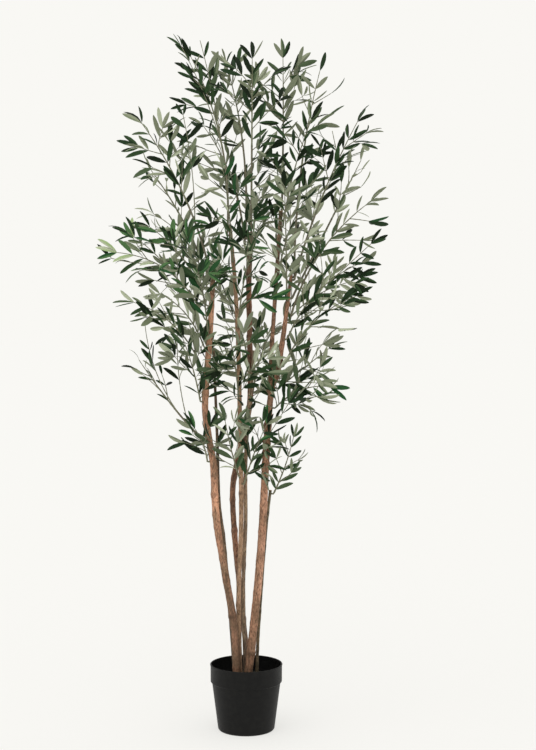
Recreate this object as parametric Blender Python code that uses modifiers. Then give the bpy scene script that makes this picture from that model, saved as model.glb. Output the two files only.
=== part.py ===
"""A potted artificial olive tree, 2.10 m tall: a black nursery pot filled with cement, wooden trunks
standing in it, and leafy sprays plugged into the trunks on bare boughs.

Metres, +Z up. The origin is the centre of the pot's flat underside, and the tree's front faces -Y.
Every solid keeps a small gap to its neighbours."""

import math
import random
from collections import namedtuple

import bmesh
import bpy
import numpy as np
from mathutils import Matrix, Vector
from mathutils.bvhtree import BVHTree

GAP = 0.0003  # clearance between solids that touch on the real tree
MERGE = 0.00001  # points this close are one point
UP = Vector((0, 0, 1))

# The pot: a tapered shell with a wide band under its rim.
POT_HEIGHT = 0.200
RIM_RADIUS = 0.110
FOOT_RADIUS = 0.0855
BAND_HEIGHT = 0.054
BAND_TAPER = 0.0015
BAND_STEP = 0.0042
WALL = 0.0026
LIP = 0.0012  # how far the rounded lip stands out
POT_SIDES = 32

# The cement in the pot, which the trunks stand on.
FILL_TOP = 0.150
TRUNK_FOOT = FILL_TOP + GAP

# Trunks: diameter at the foot and at the flat-cut top, points that the centre line runs through and, for
# a fork, the trunk and height that it stands out of.
Trunk = namedtuple("Trunk", "foot top line fork_of", defaults=[None])
TRUNKS = {
    "trunk_left": Trunk(0.023, 0.015, (
        (-0.027, -0.028, 0.13), (-0.041, -0.028, 0.36), (-0.079, -0.030, 0.57), (-0.093, -0.032, 0.69),
        (-0.097, -0.033, 0.80), (-0.120, -0.033, 0.95), (-0.120, -0.033, 1.03), (-0.105, -0.031, 1.24),
        (-0.097, -0.028, 1.41),
    )),
    "trunk_left_slim": Trunk(0.010, 0.008, (
        (-0.034, 0.001, 0.13), (-0.063, -0.006, 0.54), (-0.081, -0.008, 0.69), (-0.088, -0.008, 0.91),
        (-0.098, -0.004, 1.15),
    )),
    "trunk_crossing": Trunk(0.018, 0.017, (
        (0.010, 0.036, 0.13), (-0.014, 0.036, 0.36), (-0.030, 0.034, 0.53), (-0.043, 0.033, 0.70),
        (-0.026, 0.036, 0.82), (0.008, 0.038, 0.97), (0.012, 0.036, 1.08), (0.008, 0.030, 1.34),
        (0.012, 0.025, 1.51),
    )),
    "trunk_middle": Trunk(0.015, 0.011, (
        (-0.017, -0.010, 0.13), (-0.023, -0.006, 0.40), (-0.015, -0.004, 0.63), (-0.017, -0.004, 0.85),
        (-0.023, -0.002, 1.15), (-0.033, 0.000, 1.35), (-0.049, 0.000, 1.53),
    )),
    "trunk_middle_short": Trunk(0.012, 0.011, (
        (-0.002, 0.010, 0.13), (-0.009, 0.010, 0.42), (-0.002, 0.011, 0.63), (0.000, 0.012, 0.85),
        (0.025, 0.012, 1.15),
    )),
    "trunk_right": Trunk(0.025, 0.009, (
        (0.001, -0.032, 0.13), (0.019, -0.032, 0.28), (0.043, -0.032, 0.53), (0.055, -0.032, 0.74),
        (0.073, -0.028, 1.01), (0.099, -0.026, 1.11), (0.137, -0.020, 1.39),
    )),
    "trunk_right_slim": Trunk(0.010, 0.009, (
        (0.031, 0.000, 0.13), (0.037, 0.000, 0.30), (0.060, -0.006, 0.61), (0.073, -0.010, 0.73),
    )),
    "trunk_right_fork": Trunk(0.013, 0.012, (
        (0.073, -0.001, 1.06), (0.079, 0.002, 1.19), (0.105, 0.010, 1.57),
    ), ("trunk_right", 1.03)),
}
TRUNK_RINGS = 11
TRUNK_STEPS = 200  # points that a trunk's line is looked up at, where something stands on it
TRUNK_SIDES = 8
TRUNK_TAPER_POWER = 3  # a trunk holds its thickness and narrows near its top

# Sprays: the trunk and height that each is plugged in at, its tip, how far its stem bows up from the
# straight line, how long a bare bough carries it (0 where the leaves start at the trunk), which way the
# upper sides of its leaves look (0 up, 90 to the front, -90 to the back), how many side twigs it has
# and the length of the longest of them.
Spray = namedtuple("Spray", "trunk height tip bow bare face twigs reach")
SPRAYS = {
    # the top
    "top_left": Spray("trunk_middle", 1.50, (-0.195, -0.05, 2.08), 0.05, 0.30, 55, 4, 0.07),
    "top_left_inner": Spray("trunk_crossing", 1.49, (-0.08, 0.04, 2.08), 0.03, 0.34, -50, 4, 0.10),
    "top_middle": Spray("trunk_crossing", 1.50, (0.02, -0.07, 2.08), -0.01, 0.30, 60, 4, 0.10),
    "top_tip": Spray("trunk_right_fork", 1.56, (0.11, 0.03, 2.10), -0.01, 0.26, -40, 4, 0.10),
    "top_right": Spray("trunk_right", 1.37, (0.24, 0.06, 2.06), 0.03, 0.36, -60, 4, 0.07),
    "top_right_low": Spray("trunk_right_fork", 1.52, (0.22, -0.10, 1.89), 0.02, 0, 50, 4, 0.09),
    # the right side
    "right_upper": Spray("trunk_right", 1.36, (0.36, -0.12, 1.88), 0.02, 0.24, 30, 5, 0.10),
    "right_upper_far": Spray("trunk_right", 1.31, (0.38, 0.10, 1.79), 0.00, 0.32, -30, 4, 0.06),
    "right_silver": Spray("trunk_right", 1.24, (0.43, -0.02, 1.635), 0.05, 0.20, -40, 4, 0.08),
    "right_middle": Spray("trunk_right", 1.18, (0.40, -0.14, 1.43), 0.05, 0, 60, 5, 0.12),
    "right_middle_silver": Spray("trunk_right_fork", 1.20, (0.38, 0.08, 1.37), 0.04, 0, -60, 5, 0.12),
    "right_low": Spray("trunk_right", 1.10, (0.385, -0.16, 1.33), 0.05, 0, 50, 5, 0.11),
    "right_lower": Spray("trunk_right", 1.04, (0.30, -0.06, 1.20), 0.00, 0, 40, 4, 0.09),
    "right_lowest": Spray("trunk_right", 0.98, (0.31, -0.12, 1.03), 0.04, 0, 60, 4, 0.09),
    "right_foot": Spray("trunk_right_slim", 0.72, (0.155, -0.04, 0.96), -0.01, 0, 60, 4, 0.045),
    # the left side
    "left_upper": Spray("trunk_left", 1.40, (-0.35, -0.05, 1.88), 0.03, 0.22, 40, 5, 0.08),
    "left_sparse": Spray("trunk_left", 1.37, (-0.33, 0.12, 1.75), 0.02, 0.26, 0, 4, 0.07),
    "left_silver": Spray("trunk_left", 1.33, (-0.34, 0.06, 1.59), 0.05, 0, -50, 5, 0.11),
    "left_big_upper": Spray("trunk_left", 1.28, (-0.34, -0.10, 1.55), 0.04, 0, 60, 4, 0.10),
    "left_big": Spray("trunk_left", 1.24, (-0.44, -0.14, 1.44), 0.07, 0, 55, 5, 0.11),
    "left_middle_silver": Spray("trunk_left", 1.16, (-0.32, 0.10, 1.34), 0.04, 0, -60, 4, 0.11),
    "left_low": Spray("trunk_left", 1.10, (-0.39, -0.12, 1.31), 0.05, 0, 50, 4, 0.10),
    "left_lower": Spray("trunk_left", 1.00, (-0.21, -0.10, 1.25), 0.01, 0, 60, 4, 0.09),
    "left_bare": Spray("trunk_left", 0.88, (-0.36, 0.01, 1.18), -0.01, 0.17, 10, 4, 0.08),
    "left_foot": Spray("trunk_left", 0.82, (-0.195, -0.09, 0.965), 0.02, 0, 60, 4, 0.045),
    # low in the middle
    "middle_foot_left": Spray("trunk_middle", 0.77, (-0.07, -0.10, 1.01), -0.01, 0, -40, 4, 0.07),
    "middle_foot_right": Spray("trunk_middle", 0.75, (0.09, -0.12, 0.99), 0.01, 0, 50, 4, 0.07),
    # the front
    "front_left": Spray("trunk_left", 1.20, (-0.17, -0.34, 1.46), 0.06, 0, 50, 5, 0.11),
    "front_upper": Spray("trunk_middle", 1.42, (-0.07, -0.27, 1.71), 0.04, 0, 50, 4, 0.10),
    "front_middle": Spray("trunk_middle", 1.22, (0.05, -0.33, 1.50), 0.05, 0, 55, 5, 0.11),
    "front_low": Spray("trunk_middle", 1.00, (-0.06, -0.28, 1.24), 0.04, 0, 55, 4, 0.11),
    "front_right": Spray("trunk_right", 1.30, (0.11, -0.27, 1.67), 0.04, 0, -30, 4, 0.11),
    # the back
    "back_left": Spray("trunk_crossing", 1.12, (-0.15, 0.31, 1.37), 0.06, 0, -30, 5, 0.11),
    "back_middle": Spray("trunk_crossing", 1.34, (0.05, 0.34, 1.69), 0.06, 0.16, -20, 5, 0.12),
    "back_right": Spray("trunk_right_fork", 1.36, (0.235, 0.30, 1.66), 0.06, 0, -40, 5, 0.11),
    "back_low": Spray("trunk_crossing", 0.98, (0.11, 0.28, 1.24), 0.05, 0, -40, 5, 0.11),
    "back_upper": Spray("trunk_crossing", 1.46, (-0.17, 0.20, 1.89), 0.05, 0.22, -50, 4, 0.11),
}
LINE_STEPS = 25  # points that a spray's bowed line is worked out at
FORK_NECK = 0.011  # how far a fork stands straight out of its trunk before it turns up
NECK = 0.007  # how far a spray stands straight out of its trunk before it turns
BOUGH_RADIUS = 0.0034  # at the trunk
BOUGH_RINGS = 5
BOUGH_SIDES = 6
STEM_RADIUS = 0.0028  # where the leaves start
STEM_RINGS = 6
STEM_SIDES = 4
STEM_TIP_RADIUS = 0.0018
TWIG_RADIUS = 0.0016
TWIG_TIP_RADIUS = 0.0012
FIRST_TWIG = 0.16  # the share of a leafy stem that lies below its first side twig
LAST_TWIG = 0.80
TWIG_ANGLE = math.radians(42)
TWIG_ANGLE_SPREAD = 0.15
TWIG_LIFT = 0.35  # how far a twig may leave the plane of its spray, as a share of its length
TWIG_TIP_SHARE = 0.45  # the last side twig's length as a share of the longest
TIP_SHOOT = 0.06  # the end of a stem that carries leaves of its own

# Leaves: one solid leaf stands for two or three of the real ones, so it is larger.
LEAF_LENGTH = 0.090
LEAF_WIDTH = 0.023
LEAF_THICKNESS = 0.0016
LEAF_WIDEST = 0.42  # the share of its length, from the root, where a leaf is widest
LEAF_BEND = 0.06  # how far its tip bends down, as a share of its length
LEAF_ANGLE = math.radians(38)
LEAF_ANGLE_SPREAD = 0.2
LEAF_TILT = 0.35  # how far a leaf may leave the plane of its twig, as a share of its length
LEAF_ROLL = 0.5  # how far a leaf may turn about its own length
LEAF_PAIR = 2  # side leaves on a twig, and on the end of a stem
LEAF_ROOT = 0.0003  # how far a leaf's root lies beyond its twig's centre line
LEAF_SUNK = 0.006  # how far back into its twig's end the last leaf starts
TIP_LEAF_SHARE = 0.9  # how much of its length the leaf at a spray's tip stands past the stem
LEAF_CLEARANCE = 1.06  # a leaf is tested for room at this size

COLOURS = {
    "pot": ((0.018, 0.018, 0.018), 0.55),
    "cement": ((0.03, 0.028, 0.026), 0.9),
    "wood": ((0.33, 0.19, 0.12), 0.8),
    "bough": ((0.16, 0.18, 0.12), 0.7),
    "leaf": ((0.10, 0.16, 0.08), 0.6),
}


def material(kind):
    colour, roughness = COLOURS[kind]
    made = bpy.data.materials.new(kind)
    made.use_nodes = True
    shader = made.node_tree.nodes["Principled BSDF"]
    shader.inputs["Base Color"].default_value = (*colour, 1)
    shader.inputs["Roughness"].default_value = roughness
    shader.inputs["Metallic"].default_value = 0
    return made


def mesh_object(name, bm, kind, collection):
    """The bmesh as a new object, in the finish of its kind."""
    mesh = bpy.data.meshes.new(name)
    bm.to_mesh(mesh)
    bm.free()
    mesh.materials.append(MATERIALS[kind])
    made = bpy.data.objects.new(name, mesh)
    collection.objects.link(made)
    return made


def turned(name, profile, kind, collection):
    """A solid turned about Z from a profile of (radius, height) points, which runs from the axis up the
    inside and down the outside."""
    bm = bmesh.new()
    verts = [bm.verts.new((radius, 0, height)) for radius, height in profile]
    for first, second in zip(verts, verts[1:]):
        bm.edges.new((first, second))
    made = mesh_object(name, bm, kind, collection)
    screw = made.modifiers.new("turn", "SCREW")
    screw.steps = screw.render_steps = POT_SIDES
    screw.use_merge_vertices = True
    screw.merge_threshold = MERGE
    return made


def body_radius(height):
    """Outer radius of the pot's tapered body, under its band."""
    top = RIM_RADIUS - BAND_TAPER - BAND_STEP
    return FOOT_RADIUS + (top - FOOT_RADIUS) * height / (POT_HEIGHT - BAND_HEIGHT)


def pot(collection):
    band_foot = POT_HEIGHT - BAND_HEIGHT
    band_radius = RIM_RADIUS - BAND_TAPER
    chamfer = WALL / 2
    profile = [
        (0, WALL),
        (body_radius(WALL) - WALL, WALL),
        (body_radius(band_foot) - WALL, band_foot),
        (band_radius - WALL, band_foot + WALL),
        (RIM_RADIUS - WALL, POT_HEIGHT - chamfer),
        (RIM_RADIUS - WALL + LIP, POT_HEIGHT),
        (RIM_RADIUS, POT_HEIGHT - chamfer),
        (RIM_RADIUS, POT_HEIGHT - 2 * WALL),
        (RIM_RADIUS - LIP, POT_HEIGHT - 2 * WALL - LIP),
        (band_radius, band_foot),
        (body_radius(band_foot), band_foot - LIP),
        (body_radius(chamfer), chamfer),
        (FOOT_RADIUS - chamfer, 0),
        (0, 0),
    ]
    return turned("pot", profile, "pot", collection)


def cement(collection):
    """The plug of cement, clear of the pot's wall and floor, set flat."""
    floor = WALL + GAP
    clearance = WALL + 2 * GAP
    return turned(
        "cement",
        [
            (0, FILL_TOP),
            (body_radius(FILL_TOP - BAND_STEP) - clearance, FILL_TOP),
            (body_radius(POT_HEIGHT - BAND_HEIGHT) - clearance, POT_HEIGHT - BAND_HEIGHT - LIP),
            (body_radius(floor) - clearance, floor),
            (0, floor),
        ],
        "cement",
        collection,
    )


def smooth_line(points, count):
    """Points along the Catmull-Rom curve through the given ones, evenly shared out between them."""
    points = np.array(points, float)
    ends = [2 * points[0] - points[1], 2 * points[-1] - points[-2]]
    padded = np.vstack([ends[0], points, ends[1]])
    places = np.linspace(0, len(points) - 1, count)
    spans = np.minimum(places.astype(int), len(points) - 2)
    t = (places - spans)[:, None]
    before, start, end, after = (padded[spans + k] for k in range(4))
    return 0.5 * (
        2 * start
        + (end - before) * t
        + (2 * before - 5 * start + 4 * end - after) * t**2
        + (3 * start - before - 3 * end + after) * t**3
    )


def limb(name, line, radii, sides, kind, collection):
    """A tapering limb with flat ends: a curve with a round bevel, made a closed mesh."""
    curve = bpy.data.curves.new(name, "CURVE")
    curve.dimensions = "3D"
    curve.bevel_depth = 1
    curve.bevel_resolution = (sides - 4) // 2
    curve.use_fill_caps = True
    spline = curve.splines.new("POLY")
    spline.points.add(len(line) - 1)
    for point, place, radius in zip(spline.points, line, radii):
        point.co = (*place, 1)
        point.radius = radius
    source = bpy.data.objects.new(name, curve)
    collection.objects.link(source)
    graph = bpy.context.evaluated_depsgraph_get()
    bm = bmesh.new()
    bm.from_mesh(source.evaluated_get(graph).to_mesh())
    bpy.data.objects.remove(source)
    bmesh.ops.remove_doubles(bm, verts=bm.verts, dist=MERGE)
    bmesh.ops.recalc_face_normals(bm, faces=bm.faces)
    return mesh_object(name, bm, kind, collection)


def cut_flat(obj, height):
    """Cuts away what lies under a height and closes the cut."""
    bm = bmesh.new()
    bm.from_mesh(obj.data)
    everything = [*bm.verts, *bm.edges, *bm.faces]
    bmesh.ops.bisect_plane(bm, geom=everything, plane_co=(0, 0, height), plane_no=UP, clear_inner=True)
    bmesh.ops.holes_fill(bm, edges=bm.edges)
    bmesh.ops.recalc_face_normals(bm, faces=bm.faces)
    bm.to_mesh(obj.data)
    bm.free()


def trunk_radius(trunk, share):
    """Radius at a share of the trunk's height."""
    return (trunk.top + (trunk.foot - trunk.top) * (1 - share**TRUNK_TAPER_POWER)) / 2


def tree_of(obj):
    """The object's mesh as a search tree, for rays and for overlap tests."""
    bm = bmesh.new()
    bm.from_mesh(obj.data)
    found = BVHTree.FromBMesh(bm)
    bm.free()
    return found


def seat(trunk_name, height, tip, trees):
    """Where a limb meets its trunk at a height, on the side of its tip, and the way that the trunk's
    surface looks there."""
    trunk = TRUNKS[trunk_name]
    line = smooth_line(trunk.line, TRUNK_STEPS)
    axis = Vector(line[np.argmin(abs(line[:, 2] - height))])
    out = Vector((tip[0] - axis.x, tip[1] - axis.y, 0)).normalized()
    surface, normal, _, _ = trees[trunk_name].ray_cast(axis + out * trunk.foot * 2, -out)
    return surface, normal


def make_trunk(name, trunk, trees, collection):
    if trunk.fork_of:
        surface, normal = seat(*trunk.fork_of, trunk.line[0], trees)
        neck = surface + normal * FORK_NECK
        line = [surface + normal * GAP, *smooth_line([neck, *trunk.line], TRUNK_RINGS - 1)]
    else:
        line = smooth_line(trunk.line, TRUNK_RINGS)
    radii = [trunk_radius(trunk, share) for share in np.linspace(0, 1, TRUNK_RINGS)]
    made = limb(name, line, radii, TRUNK_SIDES, "wood", collection)
    if not trunk.fork_of:
        cut_flat(made, TRUNK_FOOT)
    return made


def bowed_line(root, tip, bow, count):
    """Points from root to tip on a parabola that stands off the straight line by bow at its middle,
    upwards, so that the stem climbs first and then leans out."""
    chord = tip - root
    rise = (UP - chord * (UP.dot(chord) / chord.length_squared)).normalized()
    shares = [k / (count - 1) for k in range(count)]
    return [root + chord * s + rise * (4 * bow * s * (1 - s)) for s in shares]


def place_at(line, share):
    """The point and the direction at a share of a line's length."""
    lengths = [(b - a).length for a, b in zip(line, line[1:])]
    left = share * sum(lengths)
    number = 0
    while left > lengths[number] and number < len(lengths) - 1:
        left -= lengths[number]
        number += 1
    start, end = line[number], line[number + 1]
    return start.lerp(end, min(left / lengths[number], 1)), (end - start).normalized()


def part_of_line(line, first, last, count):
    """The stretch of a line between two shares of its length."""
    return [place_at(line, first + (last - first) * k / (count - 1))[0] for k in range(count)]


def limb_line(line, first, last, count):
    """A stretch of a spray's line as a limb's own: from the trunk it starts with the neck."""
    if first > 0:
        return part_of_line(line[1:], first, last, count)
    return [line[0], *part_of_line(line[1:], first, last, count - 1)]


def length_of(line):
    return sum((b - a).length for a, b in zip(line, line[1:]))


def leaf_plane(face, along):
    """The direction that the upper sides of the leaves on a stem look in, and the direction across it."""
    turned_up = Vector((0, -math.sin(math.radians(face)), math.cos(math.radians(face))))
    normal = (turned_up - along * turned_up.dot(along)).normalized()
    return normal, normal.cross(along)


def side_twigs(name, spray, line):
    """The side twigs as (start, direction, length): alternately left and right, the longest near the
    foot of the stem and each of the next shorter."""
    rng = random.Random(name)
    twigs = []
    for k in range(spray.twigs):
        step = (k + rng.uniform(0.2, 0.8)) / spray.twigs
        start, along = place_at(line, FIRST_TWIG + (LAST_TWIG - FIRST_TWIG) * step)
        normal, across = leaf_plane(spray.face, along)
        side = 1 if k % 2 else -1
        angle = TWIG_ANGLE + rng.uniform(-TWIG_ANGLE_SPREAD, TWIG_ANGLE_SPREAD)
        lift = rng.uniform(-TWIG_LIFT, TWIG_LIFT)
        direction = along * math.cos(angle) + across * side * math.sin(angle) + normal * lift
        length = spray.reach * (1 - (1 - TWIG_TIP_SHARE) * step) * rng.uniform(0.85, 1.1)
        twigs.append((start, direction.normalized(), length))
    return twigs


def leaves_on(rng, face, start, direction, length):
    """Leaves alternately left and right along a twig and one at its end, as (root, direction, normal,
    size)."""
    normal, across = leaf_plane(face, direction)
    found = []
    for k in range(LEAF_PAIR):
        root = start + direction * length * (k + 1.1) / (LEAF_PAIR + 0.5)
        side = 1 if k % 2 else -1
        angle = LEAF_ANGLE + rng.uniform(-LEAF_ANGLE_SPREAD, LEAF_ANGLE_SPREAD)
        tilt = rng.uniform(-LEAF_TILT, LEAF_TILT)
        out = direction * math.cos(angle) + across * side * math.sin(angle) + normal * tilt
        look = (normal + across * rng.uniform(-LEAF_ROLL, LEAF_ROLL)).normalized()
        found.append((root, out.normalized(), look, rng.uniform(0.85, 1.05)))
    sunk = start + direction * (length - LEAF_SUNK)
    found.append((sunk, direction, normal, rng.uniform(0.9, 1.0)))
    return found


def leaf(root, direction, normal, size):
    """A leaf of six faces: flat below, ridged above, pointed at both ends, its tip bent down."""
    bm = bmesh.new()
    bmesh.ops.create_uvsphere(bm, u_segments=3, v_segments=2, radius=1)
    bmesh.ops.rotate(bm, verts=bm.verts, matrix=Matrix.Rotation(math.radians(90), 3, "Z"))
    length = LEAF_LENGTH * size
    ring_width = 2 * math.cos(math.radians(30))
    ring_height = 1 + math.sin(math.radians(30))
    for vert in bm.verts:
        share = (0, LEAF_WIDEST, 1)[round(vert.co.z) + 1]
        vert.co.x *= LEAF_WIDTH / ring_width
        vert.co.y = vert.co.y * LEAF_THICKNESS / ring_height - length * LEAF_BEND * share**2
        vert.co.z = length * share - LEAF_ROOT
    look = (normal - direction * normal.dot(direction)).normalized()
    side = look.cross(direction)
    turn = Matrix((side, look, direction)).transposed().to_4x4()
    bm.transform(Matrix.Translation(root) @ turn)
    return bm


def twig(start, direction, length):
    """A tapering three-sided twig with its foot in the stem's centre."""
    bm = bmesh.new()
    bmesh.ops.create_cone(
        bm, cap_ends=True, segments=3, radius1=TWIG_RADIUS, radius2=TWIG_TIP_RADIUS, depth=length
    )
    turn = UP.rotation_difference(direction).to_matrix().to_4x4()
    bm.transform(Matrix.Translation(start + direction * length / 2) @ turn)
    return bm


def has_room(bm, trees):
    """True where the shape, a little enlarged, touches none of the solids made so far."""
    centre = sum((vert.co for vert in bm.verts), Vector()) / len(bm.verts)
    larger = bm.copy()
    bmesh.ops.scale(larger, vec=[LEAF_CLEARANCE] * 3, space=Matrix.Translation(-centre), verts=larger.verts)
    for vert in larger.verts:
        vert.co += (vert.co - centre).normalized() * GAP
    tested = BVHTree.FromBMesh(larger)
    larger.free()
    return not any(tested.overlap(tree) for tree in trees)


def fused(obj, pieces):
    """The object joined with its pieces into one closed body. Sealed hollows are filled and loose
    scraps dropped, because only the largest shell is kept."""
    group = bpy.data.collections.new("pieces")
    bpy.context.scene.collection.children.link(group)
    for number, piece in enumerate(pieces):
        mesh_object(f"piece_{number}", piece, "leaf", group)
    join = obj.modifiers.new("join", "BOOLEAN")
    join.operation = "UNION"
    join.solver = "MANIFOLD"
    join.operand_type = "COLLECTION"
    join.collection = group
    graph = bpy.context.evaluated_depsgraph_get()
    bm = bmesh.new()
    bm.from_mesh(obj.evaluated_get(graph).to_mesh())
    obj.modifiers.clear()
    for piece in list(group.objects):
        bpy.data.objects.remove(piece)
    bpy.data.collections.remove(group)
    bmesh.ops.triangulate(bm, faces=bm.faces)
    keep_largest_shell(bm)
    bm.to_mesh(obj.data)
    bm.free()


def keep_largest_shell(bm):
    left = set(bm.verts)
    shells = []
    while left:
        shell = set()
        front = [next(iter(left))]
        while front:
            vert = front.pop()
            if vert in shell:
                continue
            shell.add(vert)
            front += [edge.other_vert(vert) for edge in vert.link_edges]
        left -= shell
        shells.append(shell)
    shells.sort(key=len)
    spare = [vert for shell in shells[:-1] for vert in shell]
    bmesh.ops.delete(bm, geom=spare, context="VERTS")


def spray_lines(trees):
    """Each spray's centre line, from its seat on the trunk through its neck to the foot of the leaf at
    its tip, and the share of it that is bare bough."""
    lines = {}
    for name, spray in SPRAYS.items():
        surface, normal = seat(spray.trunk, spray.height, spray.tip, trees)
        whole = bowed_line(surface + normal * NECK, Vector(spray.tip), spray.bow, LINE_STEPS)
        length = length_of(whole)
        leafed = part_of_line(whole, 0, 1 - TIP_LEAF_SHARE * LEAF_LENGTH / length, LINE_STEPS)
        lines[name] = [surface + normal * GAP, *leafed], spray.bare / length
    return lines


def make_boughs(lines, collection):
    radii = np.linspace(BOUGH_RADIUS, STEM_RADIUS, BOUGH_RINGS)
    return [
        limb(f"bough_{name}", limb_line(line, 0, bare, BOUGH_RINGS), radii, BOUGH_SIDES, "bough", collection)
        for name, (line, bare) in lines.items()
        if bare
    ]


def make_stems(lines, collection):
    """The stem of each mass of leaves, which starts clear of its bough's end or of the trunk."""
    radii = np.linspace(STEM_RADIUS, STEM_TIP_RADIUS, STEM_RINGS)
    stems = {}
    for name, (line, bare) in lines.items():
        first = bare + GAP / length_of(line[1:]) if bare else 0
        stem = limb_line(line, first, 1, STEM_RINGS)
        stems[name] = stem, limb(f"leaves_{name}", stem, radii, STEM_SIDES, "leaf", collection)
    return stems


def grow(name, spray, stem, trees):
    """The twigs and leaves of a mass that find room."""
    rng = random.Random(name + " leaves")
    pieces = []
    end, along = stem[-1], (stem[-1] - stem[-2]).normalized()
    places = leaves_on(rng, spray.face, end - along * TIP_SHOOT, along, TIP_SHOOT)
    for start, direction, length in side_twigs(name, spray, stem):
        shape = twig(start, direction, length)
        if has_room(shape, trees):
            pieces.append(shape)
            places += leaves_on(rng, spray.face, start, direction, length)
    for place in places:
        shape = leaf(*place)
        if has_room(shape, trees):
            pieces.append(shape)
    return pieces


def make_tree(collection):
    pot(collection)
    cement(collection)
    trunk_trees = {}
    for name, trunk in TRUNKS.items():
        trunk_trees[name] = tree_of(make_trunk(name, trunk, trunk_trees, collection))
    lines = spray_lines(trunk_trees)
    limbs = [*trunk_trees.values(), *map(tree_of, make_boughs(lines, collection))]
    stems = make_stems(lines, collection)
    masses = {name: tree_of(obj) for name, (stem, obj) in stems.items()}
    for name, (stem, obj) in stems.items():
        others = [tree for other, tree in masses.items() if other != name]
        fused(obj, grow(name, SPRAYS[name], stem, [*limbs, *others]))
        masses[name] = tree_of(obj)


for leftover in list(bpy.data.objects):
    bpy.data.objects.remove(leftover)
MATERIALS = {kind: material(kind) for kind in COLOURS}
olive_tree = bpy.data.collections.new("potted_olive_tree")
bpy.context.scene.collection.children.link(olive_tree)
make_tree(olive_tree)
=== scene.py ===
"""The looks of the potted artificial olive tree: barked poles with knots and sawn tops in a black
nursery pot, moulded boughs and twigs, and leaves of life size, green above and silver below.

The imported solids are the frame. The trunks, boughs and sprays are worked out again from the same plan
and by the same rule of growth as the solids, and carried on to finer twigs within the same reach.
Metres, +Z up. The origin is the centre of the pot's underside, and the tree's front faces -Y."""

import math
import random
from collections import namedtuple

import bpy
import numpy as np
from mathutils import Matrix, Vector
from mathutils.bvhtree import BVHTree


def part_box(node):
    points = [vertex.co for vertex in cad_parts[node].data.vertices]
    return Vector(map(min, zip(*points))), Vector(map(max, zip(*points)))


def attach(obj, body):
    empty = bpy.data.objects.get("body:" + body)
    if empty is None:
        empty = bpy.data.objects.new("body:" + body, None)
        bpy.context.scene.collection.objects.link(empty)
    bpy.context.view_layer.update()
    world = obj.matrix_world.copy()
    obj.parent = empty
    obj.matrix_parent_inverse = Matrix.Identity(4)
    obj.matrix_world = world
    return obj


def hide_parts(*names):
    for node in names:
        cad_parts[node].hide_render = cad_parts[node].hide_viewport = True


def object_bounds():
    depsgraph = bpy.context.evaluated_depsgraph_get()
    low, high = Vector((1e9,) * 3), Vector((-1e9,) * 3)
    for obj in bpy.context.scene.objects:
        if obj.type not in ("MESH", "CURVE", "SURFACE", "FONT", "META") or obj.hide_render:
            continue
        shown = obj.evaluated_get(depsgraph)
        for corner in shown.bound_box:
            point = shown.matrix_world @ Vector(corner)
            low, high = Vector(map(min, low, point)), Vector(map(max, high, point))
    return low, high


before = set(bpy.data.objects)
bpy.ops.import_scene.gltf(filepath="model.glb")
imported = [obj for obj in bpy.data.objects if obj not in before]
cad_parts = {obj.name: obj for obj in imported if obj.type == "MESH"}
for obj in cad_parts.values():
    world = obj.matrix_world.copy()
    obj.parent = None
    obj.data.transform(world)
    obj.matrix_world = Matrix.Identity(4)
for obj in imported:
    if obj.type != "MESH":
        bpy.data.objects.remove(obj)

CAD_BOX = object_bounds()
UP = Vector((0, 0, 1))


# ---------------------------------------------------------------- the plan, as the solids have it

GAP = 0.0003  # clearance between solids that touch on the real tree
# The pot: a tapered shell with a wide band under its rim.
POT_HEIGHT = 0.200
RIM_RADIUS = 0.110
FOOT_RADIUS = 0.0855
BAND_HEIGHT = 0.054
BAND_TAPER = 0.0015
BAND_STEP = 0.0042
WALL = 0.0026
LIP = 0.0012  # how far the rounded lip stands out

# The cement in the pot, which the trunks stand on.
FILL_TOP = 0.150

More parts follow.
